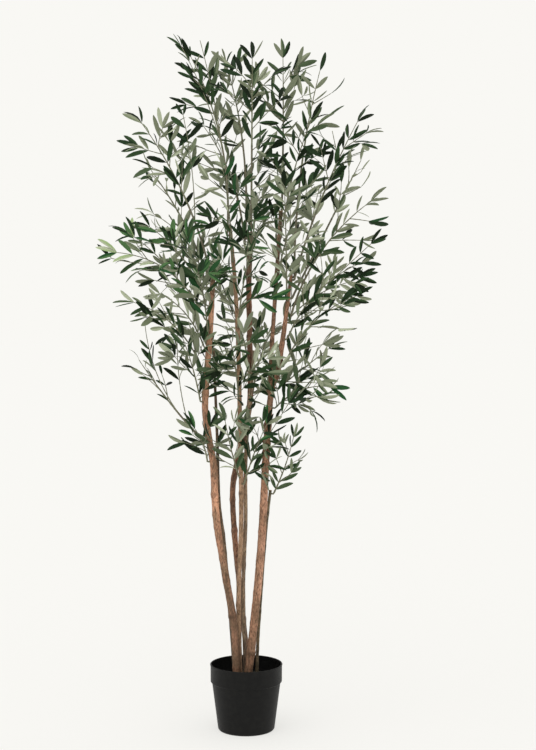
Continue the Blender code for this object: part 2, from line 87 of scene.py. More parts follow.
# Trunks: diameter at the foot and at the flat-cut top, points that the centre line runs through and, for
# a fork, the trunk and height that it stands out of.
Trunk = namedtuple("Trunk", "foot top line fork_of", defaults=[None])
TRUNKS = {
    "trunk_left": Trunk(0.023, 0.015, (
        (-0.027, -0.028, 0.13), (-0.041, -0.028, 0.36), (-0.079, -0.030, 0.57), (-0.093, -0.032, 0.69),
        (-0.097, -0.033, 0.80), (-0.120, -0.033, 0.95), (-0.120, -0.033, 1.03), (-0.105, -0.031, 1.24),
        (-0.097, -0.028, 1.41),
    )),
    "trunk_left_slim": Trunk(0.010, 0.008, (
        (-0.034, 0.001, 0.13), (-0.063, -0.006, 0.54), (-0.081, -0.008, 0.69), (-0.088, -0.008, 0.91),
        (-0.098, -0.004, 1.15),
    )),
    "trunk_crossing": Trunk(0.018, 0.017, (
        (0.010, 0.036, 0.13), (-0.014, 0.036, 0.36), (-0.030, 0.034, 0.53), (-0.043, 0.033, 0.70),
        (-0.026, 0.036, 0.82), (0.008, 0.038, 0.97), (0.012, 0.036, 1.08), (0.008, 0.030, 1.34),
        (0.012, 0.025, 1.51),
    )),
    "trunk_middle": Trunk(0.015, 0.011, (
        (-0.017, -0.010, 0.13), (-0.023, -0.006, 0.40), (-0.015, -0.004, 0.63), (-0.017, -0.004, 0.85),
        (-0.023, -0.002, 1.15), (-0.033, 0.000, 1.35), (-0.049, 0.000, 1.53),
    )),
    "trunk_middle_short": Trunk(0.012, 0.011, (
        (-0.002, 0.010, 0.13), (-0.009, 0.010, 0.42), (-0.002, 0.011, 0.63), (0.000, 0.012, 0.85),
        (0.025, 0.012, 1.15),
    )),
    "trunk_right": Trunk(0.025, 0.009, (
        (0.001, -0.032, 0.13), (0.019, -0.032, 0.28), (0.043, -0.032, 0.53), (0.055, -0.032, 0.74),
        (0.073, -0.028, 1.01), (0.099, -0.026, 1.11), (0.137, -0.020, 1.39),
    )),
    "trunk_right_slim": Trunk(0.010, 0.009, (
        (0.031, 0.000, 0.13), (0.037, 0.000, 0.30), (0.060, -0.006, 0.61), (0.073, -0.010, 0.73),
    )),
    "trunk_right_fork": Trunk(0.013, 0.012, (
        (0.073, -0.001, 1.06), (0.079, 0.002, 1.19), (0.105, 0.010, 1.57),
    ), ("trunk_right", 1.03)),
}
TRUNK_RINGS = 11
TRUNK_STEPS = 200  # points that a trunk's line is looked up at, where something stands on it
TRUNK_TAPER_POWER = 3  # a trunk holds its thickness and narrows near its top

# Sprays: the trunk and height that each is plugged in at, its tip, how far its stem bows up from the
# straight line, how long a bare bough carries it (0 where the leaves start at the trunk), which way the
# upper sides of its leaves look (0 up, 90 to the front, -90 to the back), how many side twigs it has
# and the length of the longest of them.
Spray = namedtuple("Spray", "trunk height tip bow bare face twigs reach")
SPRAYS = {
    # the top
    "top_left": Spray("trunk_middle", 1.50, (-0.195, -0.05, 2.08), 0.05, 0.30, 55, 4, 0.07),
    "top_left_inner": Spray("trunk_crossing", 1.49, (-0.08, 0.04, 2.08), 0.03, 0.34, -50, 4, 0.10),
    "top_middle": Spray("trunk_crossing", 1.50, (0.02, -0.07, 2.08), -0.01, 0.30, 60, 4, 0.10),
    "top_tip": Spray("trunk_right_fork", 1.56, (0.11, 0.03, 2.10), -0.01, 0.26, -40, 4, 0.10),
    "top_right": Spray("trunk_right", 1.37, (0.24, 0.06, 2.06), 0.03, 0.36, -60, 4, 0.07),
    "top_right_low": Spray("trunk_right_fork", 1.52, (0.22, -0.10, 1.89), 0.02, 0, 50, 4, 0.09),
    # the right side
    "right_upper": Spray("trunk_right", 1.36, (0.36, -0.12, 1.88), 0.02, 0.24, 30, 5, 0.10),
    "right_upper_far": Spray("trunk_right", 1.31, (0.38, 0.10, 1.79), 0.00, 0.32, -30, 4, 0.06),
    "right_silver": Spray("trunk_right", 1.24, (0.43, -0.02, 1.635), 0.05, 0.20, -40, 4, 0.08),
    "right_middle": Spray("trunk_right", 1.18, (0.40, -0.14, 1.43), 0.05, 0, 60, 5, 0.12),
    "right_middle_silver": Spray("trunk_right_fork", 1.20, (0.38, 0.08, 1.37), 0.04, 0, -60, 5, 0.12),
    "right_low": Spray("trunk_right", 1.10, (0.385, -0.16, 1.33), 0.05, 0, 50, 5, 0.11),
    "right_lower": Spray("trunk_right", 1.04, (0.30, -0.06, 1.20), 0.00, 0, 40, 4, 0.09),
    "right_lowest": Spray("trunk_right", 0.98, (0.31, -0.12, 1.03), 0.04, 0, 60, 4, 0.09),
    "right_foot": Spray("trunk_right_slim", 0.72, (0.155, -0.04, 0.96), -0.01, 0, 60, 4, 0.045),
    # the left side
    "left_upper": Spray("trunk_left", 1.40, (-0.35, -0.05, 1.88), 0.03, 0.22, 40, 5, 0.08),
    "left_sparse": Spray("trunk_left", 1.37, (-0.33, 0.12, 1.75), 0.02, 0.26, 0, 4, 0.07),
    "left_silver": Spray("trunk_left", 1.33, (-0.34, 0.06, 1.59), 0.05, 0, -50, 5, 0.11),
    "left_big_upper": Spray("trunk_left", 1.28, (-0.34, -0.10, 1.55), 0.04, 0, 60, 4, 0.10),
    "left_big": Spray("trunk_left", 1.24, (-0.44, -0.14, 1.44), 0.07, 0, 55, 5, 0.11),
    "left_middle_silver": Spray("trunk_left", 1.16, (-0.32, 0.10, 1.34), 0.04, 0, -60, 4, 0.11),
    "left_low": Spray("trunk_left", 1.10, (-0.39, -0.12, 1.31), 0.05, 0, 50, 4, 0.10),
    "left_lower": Spray("trunk_left", 1.00, (-0.21, -0.10, 1.25), 0.01, 0, 60, 4, 0.09),
    "left_bare": Spray("trunk_left", 0.88, (-0.36, 0.01, 1.18), -0.01, 0.17, 10, 4, 0.08),
    "left_foot": Spray("trunk_left", 0.82, (-0.195, -0.09, 0.965), 0.02, 0, 60, 4, 0.045),
    # low in the middle
    "middle_foot_left": Spray("trunk_middle", 0.77, (-0.07, -0.10, 1.01), -0.01, 0, -40, 4, 0.07),
    "middle_foot_right": Spray("trunk_middle", 0.75, (0.09, -0.12, 0.99), 0.01, 0, 50, 4, 0.07),
    # the front
    "front_left": Spray("trunk_left", 1.20, (-0.17, -0.34, 1.46), 0.06, 0, 50, 5, 0.11),
    "front_upper": Spray("trunk_middle", 1.42, (-0.07, -0.27, 1.71), 0.04, 0, 50, 4, 0.10),
    "front_middle": Spray("trunk_middle", 1.22, (0.05, -0.33, 1.50), 0.05, 0, 55, 5, 0.11),
    "front_low": Spray("trunk_middle", 1.00, (-0.06, -0.28, 1.24), 0.04, 0, 55, 4, 0.11),
    "front_right": Spray("trunk_right", 1.30, (0.11, -0.27, 1.67), 0.04, 0, -30, 4, 0.11),
    # the back
    "back_left": Spray("trunk_crossing", 1.12, (-0.15, 0.31, 1.37), 0.06, 0, -30, 5, 0.11),
    "back_middle": Spray("trunk_crossing", 1.34, (0.05, 0.34, 1.69), 0.06, 0.16, -20, 5, 0.12),
    "back_right": Spray("trunk_right_fork", 1.36, (0.235, 0.30, 1.66), 0.06, 0, -40, 5, 0.11),
    "back_low": Spray("trunk_crossing", 0.98, (0.11, 0.28, 1.24), 0.05, 0, -40, 5, 0.11),
    "back_upper": Spray("trunk_crossing", 1.46, (-0.17, 0.20, 1.89), 0.05, 0.22, -50, 4, 0.11),
}
LINE_STEPS = 25  # points that a spray's bowed line is worked out at
FORK_NECK = 0.011  # how far a fork stands straight out of its trunk before it turns up
NECK = 0.007  # how far a spray stands straight out of its trunk before it turns
BOUGH_RADIUS = 0.0034  # at the trunk
STEM_RADIUS = 0.0028  # where the leaves start
STEM_RINGS = 6
TWIG_RADIUS = 0.0016
FIRST_TWIG = 0.16  # the share of a leafy stem that lies below its first side twig
LAST_TWIG = 0.80
TWIG_PLACES = (0.2, 0.8)  # where in its own stretch of the stem a twig may stand
TWIG_ANGLE = math.radians(42)
TWIG_ANGLE_SPREAD = 0.15
TWIG_LIFT = 0.35  # how far a twig may leave the plane of its spray, as a share of its length
TWIG_TIP_SHARE = 0.45  # the last side twig's length as a share of the longest
TWIG_LENGTHS = (0.85, 1.1)  # how far a twig's length may vary, as shares of its own

# What grows on where the solids stop. A solid leaf stands for two or three of life size.
SOLID_LEAF = 0.090
TIP_LEAF_SHARE = 0.9  # how much of its length the leaf at a spray's tip stands past the stem
SUNK = 0.003  # how far a limb starts inside what carries it
ROOM = 0.008  # how far a leaf may stand out of its mass's box

# Leaves: their usual length and width, and how far their sizes and widths vary, as shares of those.
LEAF_LENGTH = 0.074
LEAF_WIDTH = 0.0166
LEAF_SIZES = (0.72, 1.12)
LEAF_WIDTHS = (0.86, 1.08)
LEAF_SHRINKS = 0.16  # how much shorter the leaves are at a twig's end than at its foot
LEAF_ANGLE = math.radians(38)
LEAF_ANGLE_SPREAD = 0.3
LEAF_TILT = 0.38  # how far a leaf may leave the plane of its twig, as a share of its length
LEAF_ROLL = 0.42  # how far a leaf may turn about its own length
LEAF_TURNED_OVER = 0.14  # the share of leaves that show the other side
ROLLED_UP = 0.17  # the share of leaves that are rolled up lengthwise
ROLLED_UP_AT_END = 0.38  # the same past END_OF_TWIG
ROLLED_WIDTHS = (0.22, 0.50)
END_OF_TWIG = 0.6  # the share of a twig past which its leaves have the end's tones

# Pairs of leaves along a twig, and the tuft at its end.
PAIR_STEP = 0.038  # from one pair to the next
PAIR_PLACES = (0.1, 0.6)  # where in its own step a pair may stand
PAIR_STAGGER = 0.004  # how far a pair's two leaves may stand apart along their twig
PAIR_TURN = 14  # how far a pair may turn about its twig, in degrees, as a spread
PATH_ENDS = (0.02, 0.98)  # no leaf stands nearer to either end of its twig, as a share of its length
CLOSE_POWER = 0.5  # how much a spray's fullness draws its leaves together
BARE_TWIGS = 0.5  # a spray no fuller than this is nearly bare: one leaf in place of each tuft
LEADER_FULLNESS = 1.1  # how closely the leaves stand along the stem of a spray that isn't nearly bare
TUFT_ANGLE = 0.5  # between the leaves of a tuft
TUFT_SPREAD = 0.15
TUFT_SIZES = (0.75, 1.0)
TUFT_SIDE_SHARE = 0.88  # the length of a tuft's two outer leaves as a share of the middle one's

# Twigs.
TWIG_REACH = 0.018  # how much further a twig runs than its solid, whose leaves are longer
TWIG_BEND = 0.22  # how far a twig may bend from straight, as a share of its length
TWIG_RISE = (-0.3, 1.0)  # how much of that bend may be up
TWIG_TURN = 0.55  # how far a twig's leaves may turn from the plane of its spray, in radians, as a spread
TWIG_CLEAR = 0.022  # how far up a twig its first leaf stands
BARE_FOOT = 0.05  # the share of a stem without leaves, where it goes on from a bare bough
LEAFY_FOOT = 0.14  # the same where it starts at the trunk
# The share of twigs whose leaves show the other side, by the tones of their spray.
TWIG_TURNED_OVER = {"dark": 0.08, "usual": 0.26, "dusty": 0.36, "bright": 0.15}

# Finer twigs on the twigs.
FINER_KEPT = 2.0  # how quickly they thin out where a spray is less full than 1
FINER_TWIG = 0.42  # where on a twig its finer twig stands, as a share of its length
FINER_SHARE = 0.55  # a finer twig's length as a share of its twig's
FINER_LENGTHS = (0.8, 1.2)  # how far that may vary
FINER_ANGLE = math.radians(38)
OFF_TILT = 0.5  # how far a path that leaves another may stand out of the plane of its leaves
FINER_RADIUS = 0.0010
FINEST_RADIUS = 0.0006

# How each shoot is drawn, as rings along it and sides round it, and the points that a twig's path is
# worked out at before that.
STEM_DRAWN = (22, 8)
TWIG_DRAWN = (9, 6)
FINER_DRAWN = (6, 5)
TWIG_POINTS = 7
FINER_POINTS = 6


# ---------------------------------------------------------------- colours


def tone(red, green, blue):
    """A colour named by its eye values from 0 to 255, as the shader's linear light."""
    values = np.array((red, green, blue)) / 255
    linear = np.where(values > 0.04045, ((values + 0.055) / 1.055) ** 2.4, values / 12.92)
    return (*linear.tolist(), 1.0)


# Upper sides from the darkest to the palest, the two bright greens of the young shoots, then the
# silver undersides.
LEAF_TONES = {
    "leaf_ink": tone(20, 34, 15),
    "leaf_pine": tone(32, 54, 29),
    "leaf_olive": tone(50, 74, 43),
    "leaf_sage": tone(78, 95, 67),
    "leaf_dusty": tone(124, 135, 107),
    "leaf_bright": tone(38, 80, 43),
    "leaf_fresh": tone(80, 117, 70),
    "leaf_young": tone(166, 188, 136),
    "silver_dark": tone(124, 131, 108),
    "silver_mid": tone(150, 157, 132),
    "silver_pale": tone(188, 196, 169),
}
# The tone of a leaf's paler half, dealt at random: painted light, as on the half of a folded blade that
# faces the light.
PAINTED_LIT_HALF_TONE = {
    "leaf_ink": "leaf_olive",
    "leaf_pine": "leaf_olive",
    "leaf_olive": "leaf_sage",
    "leaf_sage": "leaf_dusty",
    "leaf_dusty": "silver_mid",
    "leaf_bright": "leaf_fresh",
    "leaf_fresh": "leaf_bright",
    "leaf_young": "silver_pale",
    "silver_dark": "silver_mid",
    "silver_mid": "silver_pale",
    "silver_pale": "silver_mid",
}
PAINTED_LIT_SHARE = 0.45  # the share of leaves with a paler half
TOPS = {
    "dark": {"leaf_ink": 6, "leaf_pine": 5, "leaf_olive": 2},
    "usual": {"leaf_ink": 4, "leaf_pine": 5, "leaf_olive": 3, "leaf_sage": 1, "leaf_dusty": 1},
    "dusty": {"leaf_ink": 2, "leaf_pine": 3, "leaf_olive": 3, "leaf_sage": 2, "leaf_dusty": 2},
    "bright": {"leaf_ink": 2, "leaf_pine": 3, "leaf_olive": 2, "leaf_bright": 4, "leaf_fresh": 1},
    "young": {"leaf_olive": 2, "leaf_fresh": 3, "leaf_young": 4, "leaf_dusty": 1},
}
UNDERSIDES = {
    "dark": {"silver_dark": 6, "silver_mid": 1, "leaf_sage": 4, "leaf_olive": 2},
    "usual": {"silver_dark": 5, "silver_mid": 4, "silver_pale": 1},
    "dusty": {"silver_dark": 3, "silver_mid": 5, "silver_pale": 3},
    "bright": {"silver_dark": 5, "silver_mid": 4, "silver_pale": 1},
    "young": {"silver_mid": 4, "silver_pale": 4},
}
# Each spray's tones, how closely its leaves stand (1 is a pair every PAIR_STEP), the tones near its tip,
# its leaves' size and, where it isn't the usual, the share of its stem without leaves.
Dress = namedtuple("Dress", "tones fullness tip_tones size foot", defaults=[None, 1, None])
SPRAY_DRESS = {
    "top_left": Dress("dark", 0.54),
    "top_left_inner": Dress("usual", 0.52),
    "top_middle": Dress("dark", 0.56),
    "top_tip": Dress("dark", 0.85, size=1.1),
    "top_right": Dress("dark", 0.45),
    "top_right_low": Dress("usual", 0.85),
    "right_upper": Dress("dark", 0.8),
    "right_upper_far": Dress("dusty", 0.5),
    "right_silver": Dress("dark", 0.52, "bright"),
    "right_middle": Dress("dusty", 0.6, "usual"),
    "right_middle_silver": Dress("dusty", 0.54),
    "right_low": Dress("usual", 0.51),
    "right_lower": Dress("dusty", 0.65),
    "right_lowest": Dress("usual", 0.55, "bright", 1.08),
    "right_foot": Dress("dusty", 0.6, size=0.8, foot=0.04),
    "left_upper": Dress("usual", 0.9, size=1.08),
    "left_sparse": Dress("dusty", 0.35, size=0.7),
    "left_silver": Dress("dusty", 0.7),
    "left_big_upper": Dress("bright", 0.75, size=1.08),
    "left_big": Dress("bright", 0.8, "young", 1.08),
    "left_middle_silver": Dress("dusty", 0.62),
    "left_low": Dress("dusty", 0.55),
    "left_lower": Dress("usual", 0.66),
    "left_bare": Dress("dusty", 0.3, size=0.7),
    "left_foot": Dress("dark", 0.6, "bright", 1.1),
    "middle_foot_left": Dress("dark", 0.75),
    "middle_foot_right": Dress("usual", 0.8, "bright"),
    "front_left": Dress("bright", 0.75, size=1.1),
    "front_upper": Dress("bright", 0.85),
    "front_middle": Dress("bright", 1.1),
    "front_low": Dress("usual", 1.05),
    "front_right": Dress("usual", 0.8),
    "back_left": Dress("usual", 0.8),
    "back_middle": Dress("dark", 0.6),
    "back_right": Dress("usual", 0.56),
    "back_low": Dress("usual", 0.7),
    "back_upper": Dress("dark", 0.55),
}

# How many short leafy spurs stand on the upper part of a bare bough, or at the foot of a leafy stem.
SPURS = {
    "top_middle": 5, "top_left_inner": 4, "back_upper": 3, "top_right": 2,
    "front_low": 3, "back_low": 3, "right_lower": 2, "right_lowest": 3, "left_lower": 2,
}
BOUGH_SPURS = (0.30, 1.0)  # the stretch of a bare bough that they stand on
FOOT_SPURS = (0.05, 0.20)  # the stretch of a leafy stem
SPUR_REACH = 0.075
SPUR_LENGTHS = (0.7, 1.2)  # how far a spur's length may vary, as shares of its reach
SPUR_ANGLE = math.radians(50)
SPUR_PLANES = (-90, 90)  # which way the upper sides of its leaves may look, as an angle like a spray's
SPUR_CLEAR = 0.010  # how far up a spur its first leaf stands

# Long forks of a bare bough or of a leafy stem: the share of its length that each stands at, its tip,
# how far it bows up, and its tones.
Fork = namedtuple("Fork", "share tip bow tones", defaults=["dark"])
FORKS = {
    "left_upper": (Fork(0.75, (-0.185, -0.06, 1.85), 0.010, "usual"),),
    "right_middle": (Fork(0.70, (0.365, -0.16, 1.465), 0.0),),
    "right_silver": (Fork(0.80, (0.220, -0.05, 1.64), 0.010, "dusty"),),
    "left_big": (
        Fork(0.45, (-0.345, -0.12, 1.500), 0.010),
        Fork(0.70, (-0.395, -0.10, 1.425), -0.005),
    ),
    "top_left": (
        Fork(1.0, (-0.190, -0.06, 2.05), 0.010),
        Fork(1.0, (-0.135, -0.04, 2.07), 0.005),
    ),
    "right_lowest": (Fork(0.02, (0.028, -0.14, 1.005), 0.0),),
    "middle_foot_right": (Fork(0.35, (0.128, -0.10, 1.000), 0.0),),
    "front_low": (Fork(0.02, (-0.030, -0.15, 1.020), 0.0),),
    "left_bare": (
        Fork(0.55, (-0.205, -0.02, 1.21), -0.012),
        Fork(0.85, (-0.300, -0.05, 1.23), -0.020),
    ),
}
FORK_BARE = 0.45  # the share of a fork's length below its first leaf
FORK_DRESS = Dress("dark", 1.0)


# ---------------------------------------------------------------- lines, as the solids have them


def smooth_line(points, count):
    """Points along the Catmull-Rom curve through the given ones, evenly shared out between them."""
    points = np.array(points, float)
    ends = [2 * points[0] - points[1], 2 * points[-1] - points[-2]]
    padded = np.vstack([ends[0], points, ends[1]])
    places = np.linspace(0, len(points) - 1, count)
    spans = np.minimum(places.astype(int), len(points) - 2)
    t = (places - spans)[:, None]
    before, start, end, after = (padded[spans + k] for k in range(4))
    return 0.5 * (
        2 * start
        + (end - before) * t
        + (2 * before - 5 * start + 4 * end - after) * t**2
        + (3 * start - before - 3 * end + after) * t**3
    )


def trunk_radius(trunk, share):
    """Radius at a share of the trunk's height."""
    return (trunk.top + (trunk.foot - trunk.top) * (1 - share**TRUNK_TAPER_POWER)) / 2


def tree_of(node):
    """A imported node's mesh as a search tree, for rays."""
    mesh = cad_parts[node].data
    return BVHTree.FromPolygons([v.co for v in mesh.vertices], [p.vertices for p in mesh.polygons])


def seat(trunk_name, height, tip):
    """Where a limb meets its trunk at a height, on the side of its tip, and the way that the trunk's
    surface looks there."""
    trunk = TRUNKS[trunk_name]
    line = smooth_line(trunk.line, TRUNK_STEPS)
    axis = Vector(line[np.argmin(abs(line[:, 2] - height))])
    out = Vector((tip[0] - axis.x, tip[1] - axis.y, 0)).normalized()
    surface, normal, _, _ = TREES[trunk_name].ray_cast(axis + out * trunk.foot * 2, -out)
    return surface, normal


def bowed_line(root, tip, bow, count):
    """Points from root to tip on a parabola that stands off the straight line by bow at its middle,
    upwards, so that the stem climbs first and then leans out."""
    chord = tip - root
    rise = (UP - chord * (UP.dot(chord) / chord.length_squared)).normalized()
    shares = [k / (count - 1) for k in range(count)]
    return [root + chord * s + rise * (4 * bow * s * (1 - s)) for s in shares]


def place_at(line, share):
    """The point and the direction at a share of a line's length."""
    lengths = [(b - a).length for a, b in zip(line, line[1:])]
    left = share * sum(lengths)
    number = 0
    while left > lengths[number] and number < len(lengths) - 1:
        left -= lengths[number]
        number += 1
    start, end = line[number], line[number + 1]
    return start.lerp(end, min(left / lengths[number], 1)), (end - start).normalized()


def part_of_line(line, first, last, count):
    """The stretch of a line between two shares of its length."""
    return [place_at(line, first + (last - first) * k / (count - 1))[0] for k in range(count)]


def limb_line(line, first, last, count):
    """A stretch of a spray's line as a limb's own: from the trunk it starts with the neck."""
    if first > 0:
        return part_of_line(line[1:], first, last, count)
    return [line[0], *part_of_line(line[1:], first, last, count - 1)]


def length_of(line):
    return sum((b - a).length for a, b in zip(line, line[1:]))


def leaf_plane(face, along):
    """The direction that the upper sides of the leaves on a stem look in, and the direction across it."""
    turned_up = Vector((0, -math.sin(math.radians(face)), math.cos(math.radians(face))))
    normal = (turned_up - along * turned_up.dot(along)).normalized()
    return normal, normal.cross(along)


def side_twigs(name, spray, line):
    """The side twigs as (start, direction, length): alternately left and right, the longest near the
    foot of the stem and each of the next shorter."""
    rng = random.Random(name)
    twigs = []
    for k in range(spray.twigs):
        step = (k + rng.uniform(*TWIG_PLACES)) / spray.twigs
        start, along = place_at(line, FIRST_TWIG + (LAST_TWIG - FIRST_TWIG) * step)
        normal, across = leaf_plane(spray.face, along)
        side = 1 if k % 2 else -1
        angle = TWIG_ANGLE + rng.uniform(-TWIG_ANGLE_SPREAD, TWIG_ANGLE_SPREAD)
        lift = rng.uniform(-TWIG_LIFT, TWIG_LIFT)
        direction = along * math.cos(angle) + across * side * math.sin(angle) + normal * lift
        length = spray.reach * (1 - (1 - TWIG_TIP_SHARE) * step) * rng.uniform(*TWIG_LENGTHS)
        twigs.append((start, direction.normalized(), length))
    return twigs


# ---------------------------------------------------------------- growth, carried on

Shoot = namedtuple("Shoot", "path foot tip drawn")  # radius at its foot and at its tip
Leaf = namedtuple("Leaf", "root along look length width top under")  # width as a share of the usual


def bent_path(rng, start, along, length, bend, count):
    """A twig's path: start + along·t + turn·t², where turn is a small bend, more often up than down."""
    turn = (UP * rng.uniform(*TWIG_RISE) + Vector((rng.uniform(-1, 1), rng.uniform(-1, 1), 0))) * bend
    steps = [k / (count - 1) for k in range(count)]
    return [start + along * length * t + turn * length * t * t for t in steps]


def dealt(rng, shares):
    """One of the named tones, dealt out by the shares that each has."""
    return rng.choices(list(shares), list(shares.values()))[0]


def leaf_at(rng, root, along, normal, across, angle, length, tones, rolled_up):
    """A leaf that leaves its twig at an angle, to the side that across looks to, with its tones dealt
    out. A share of the leaves is rolled up lengthwise, and so much narrower."""
    tilt = rng.uniform(-LEAF_TILT, LEAF_TILT)
    out = along * math.cos(angle) + across * math.sin(angle) + normal * tilt
    look = normal + across * rng.uniform(-LEAF_ROLL, LEAF_ROLL)
    look *= -1 if rng.random() < LEAF_TURNED_OVER else 1
    width = rng.uniform(*(ROLLED_WIDTHS if rng.random() < rolled_up else LEAF_WIDTHS))
    top, under = dealt(rng, TOPS[tones]), dealt(rng, UNDERSIDES[tones])
    return Leaf(root, out.normalized(), look.normalized(), length, width, top, under)


def leaves_along(rng, plane, path, clear, dress, tones, end_tones, fullness=None):
    """Pairs of leaves along a path past its first clear metres, each a little shorter than the last, and
    a tuft of three at its end, or one leaf on a nearly bare spray. The plane is the way their upper
    sides look, as an angle like a spray's, and each pair turns a little from it. Past END_OF_TWIG they
    have the end's tones."""
    length = length_of(path)
    step = PAIR_STEP / (fullness or dress.fullness) ** CLOSE_POWER
    found = []
    for k in range(int((length - clear) / step)):
        reach = clear + step * (k + rng.uniform(*PAIR_PLACES))
        pair_plane = plane + rng.gauss(0, PAIR_TURN)
        for side in (-1, 1):
            share = (reach + rng.uniform(-PAIR_STAGGER, PAIR_STAGGER)) / length
            root, along = place_at(path, min(max(share, PATH_ENDS[0]), PATH_ENDS[1]))
            normal, across = leaf_plane(pair_plane, along)
            angle = LEAF_ANGLE + rng.uniform(-LEAF_ANGLE_SPREAD, LEAF_ANGLE_SPREAD)
            size = LEAF_LENGTH * dress.size * rng.uniform(*LEAF_SIZES) * (1 - LEAF_SHRINKS * share)
            own, rolled = (end_tones, ROLLED_UP_AT_END) if share > END_OF_TWIG else (tones, ROLLED_UP)
            found.append(leaf_at(rng, root, along, normal, across * side, angle, size, own, rolled))
    end, along = path[-1], (path[-1] - path[-2]).normalized()
    normal, across = leaf_plane(plane, along)
    for turn in (-TUFT_ANGLE, 0, TUFT_ANGLE) if dress.fullness > BARE_TWIGS else (0,):
        size = LEAF_LENGTH * dress.size * rng.uniform(*TUFT_SIZES) * (TUFT_SIDE_SHARE if turn else 1)
        angle = turn + rng.uniform(-TUFT_SPREAD, TUFT_SPREAD)
        root = end - along * SUNK
        found.append(leaf_at(rng, root, along, normal, across, angle, size, end_tones, ROLLED_UP))
    return found


def twig_plane(rng, name):
    """The way that the upper sides of a twig's leaves look: its spray's, turned a little, and on some
    twigs turned over."""
    over = 180 if rng.random() < TWIG_TURNED_OVER[SPRAY_DRESS[name].tones] else 0
    return SPRAYS[name].face + over + math.degrees(rng.gauss(0, TWIG_TURN))


def off(rng, path, share, side, plane, angle, length):
    """A bent path that leaves another to one side, at a share of its length."""
    foot, onward = place_at(path, share)
    normal, across = leaf_plane(plane, onward)
    tilt = rng.uniform(-OFF_TILT, OFF_TILT)
    out = onward * math.cos(angle) + across * side * math.sin(angle) + normal * tilt
    return bent_path(rng, foot, out.normalized(), length, TWIG_BEND, FINER_POINTS)


def grown(name, spray, stem, shoot):
    """A spray's shoots and leaves. Its side twigs stand where the solid's do, on its solid's stem. Each
    may carry a finer twig, in turn left and right, and leaves stand along them all."""
    rng = random.Random(name + " fine")
    dress = SPRAY_DRESS[name]
    tones, tip_tones = dress.tones, dress.tip_tones or dress.tones
    shoots = [Shoot(shoot, STEM_RADIUS, FINER_RADIUS, STEM_DRAWN)]
    foot = (dress.foot or (BARE_FOOT if spray.bare else LEAFY_FOOT)) * length_of(shoot)
    fullness = LEADER_FULLNESS if dress.fullness > BARE_TWIGS else dress.fullness
    leaves = leaves_along(rng, spray.face, shoot, foot, dress, tones, tip_tones, fullness)
    for number, (start, along, length) in enumerate(side_twigs(name, spray, stem)):
        reach = length + TWIG_REACH
        own = tip_tones if number == spray.twigs - 1 else tones
        path = bent_path(rng, start, along, reach, TWIG_BEND, TWIG_POINTS)
        shoots.append(Shoot(path, TWIG_RADIUS, FINER_RADIUS, TWIG_DRAWN))
        leaves += leaves_along(rng, twig_plane(rng, name), path, TWIG_CLEAR, dress, own, own)
        if rng.random() > FINER_KEPT * dress.fullness - (FINER_KEPT - 1):
            continue
        side = 1 if number % 2 else -1
        length = reach * FINER_SHARE * rng.uniform(*FINER_LENGTHS)
        finer = off(rng, path, FINER_TWIG, side, spray.face, FINER_ANGLE, length)
        shoots.append(Shoot(finer, FINER_RADIUS, FINEST_RADIUS, FINER_DRAWN))
        leaves += leaves_along(rng, twig_plane(rng, name), finer, TWIG_CLEAR / 2, dress, own, own)
    return shoots, leaves


def grown_on_foot(name, spray, limb):
    """The short leafy spurs and the long forks that some sprays carry on their bare bough, or on the foot
    of their leafy stem, as shoots and leaves."""
    rng = random.Random(name + " bough")
    dress = SPRAY_DRESS[name]
    tones = dress.tones
    first, last = BOUGH_SPURS if spray.bare else FOOT_SPURS
    shoots, leaves = [], []
    count = SPURS.get(name, 0)
    for k in range(count):
        share = first + (last - first) * (k + rng.uniform(*TWIG_PLACES)) / count
        side = 1 if k % 2 else -1
        length = SPUR_REACH * rng.uniform(*SPUR_LENGTHS)
        path = off(rng, limb, share, side, rng.uniform(*SPUR_PLANES), SPUR_ANGLE, length)
        shoots.append(Shoot(path, TWIG_RADIUS, FINER_RADIUS, TWIG_DRAWN))
        leaves += leaves_along(rng, twig_plane(rng, name), path, SPUR_CLEAR, dress, tones, tones)
    for fork in FORKS.get(name, ()):
        foot, _ = place_at(limb, fork.share)
        path = bowed_line(foot, Vector(fork.tip), fork.bow, LINE_STEPS)
        shoots.append(Shoot(path, TWIG_RADIUS, FINER_RADIUS, STEM_DRAWN))
        bare = FORK_BARE * length_of(path)
        leaves += leaves_along(rng, spray.face, path, bare, FORK_DRESS, fork.tones, fork.tones)
    return shoots, leaves


def planned_sprays():
    """Each spray's bare bough, if it has one, the stem of its solid, and the longer stem that the
    leaves of life size stand on."""
    rings = STEM_DRAWN[0]
    for name, spray in SPRAYS.items():
        surface, normal = seat(spray.trunk, spray.height, spray.tip)
        sunk = surface - normal * SUNK
        whole = bowed_line(surface + normal * NECK, Vector(spray.tip), spray.bow, LINE_STEPS)
        length = length_of(whole)
        solid_end = 1 - TIP_LEAF_SHARE * SOLID_LEAF / length
        leafed = part_of_line(whole, 0, solid_end, LINE_STEPS)
        onward = [*leafed, *part_of_line(whole, solid_end, 1, STEM_RINGS)[1:]]
        bare = spray.bare / length
        first = bare + GAP / length_of(leafed) if bare else 0
        stem = limb_line([surface + normal * GAP, *leafed], first, 1, STEM_RINGS)
        bough = limb_line([sunk, *leafed], 0, bare, rings) if bare else None
        start = bare * length_of(leafed) / length_of(onward)
        reach = (length - TIP_LEAF_SHARE * LEAF_LENGTH) / length_of(onward)
        yield name, spray, bough, stem, limb_line([sunk, *onward], start, reach, rings)


# ---------------------------------------------------------------- surfaces


def unit(vectors):
    return vectors / np.linalg.norm(vectors, axis=-1, keepdims=True)


def angles(sides):
    return np.arange(sides) * (2 * np.pi / sides)


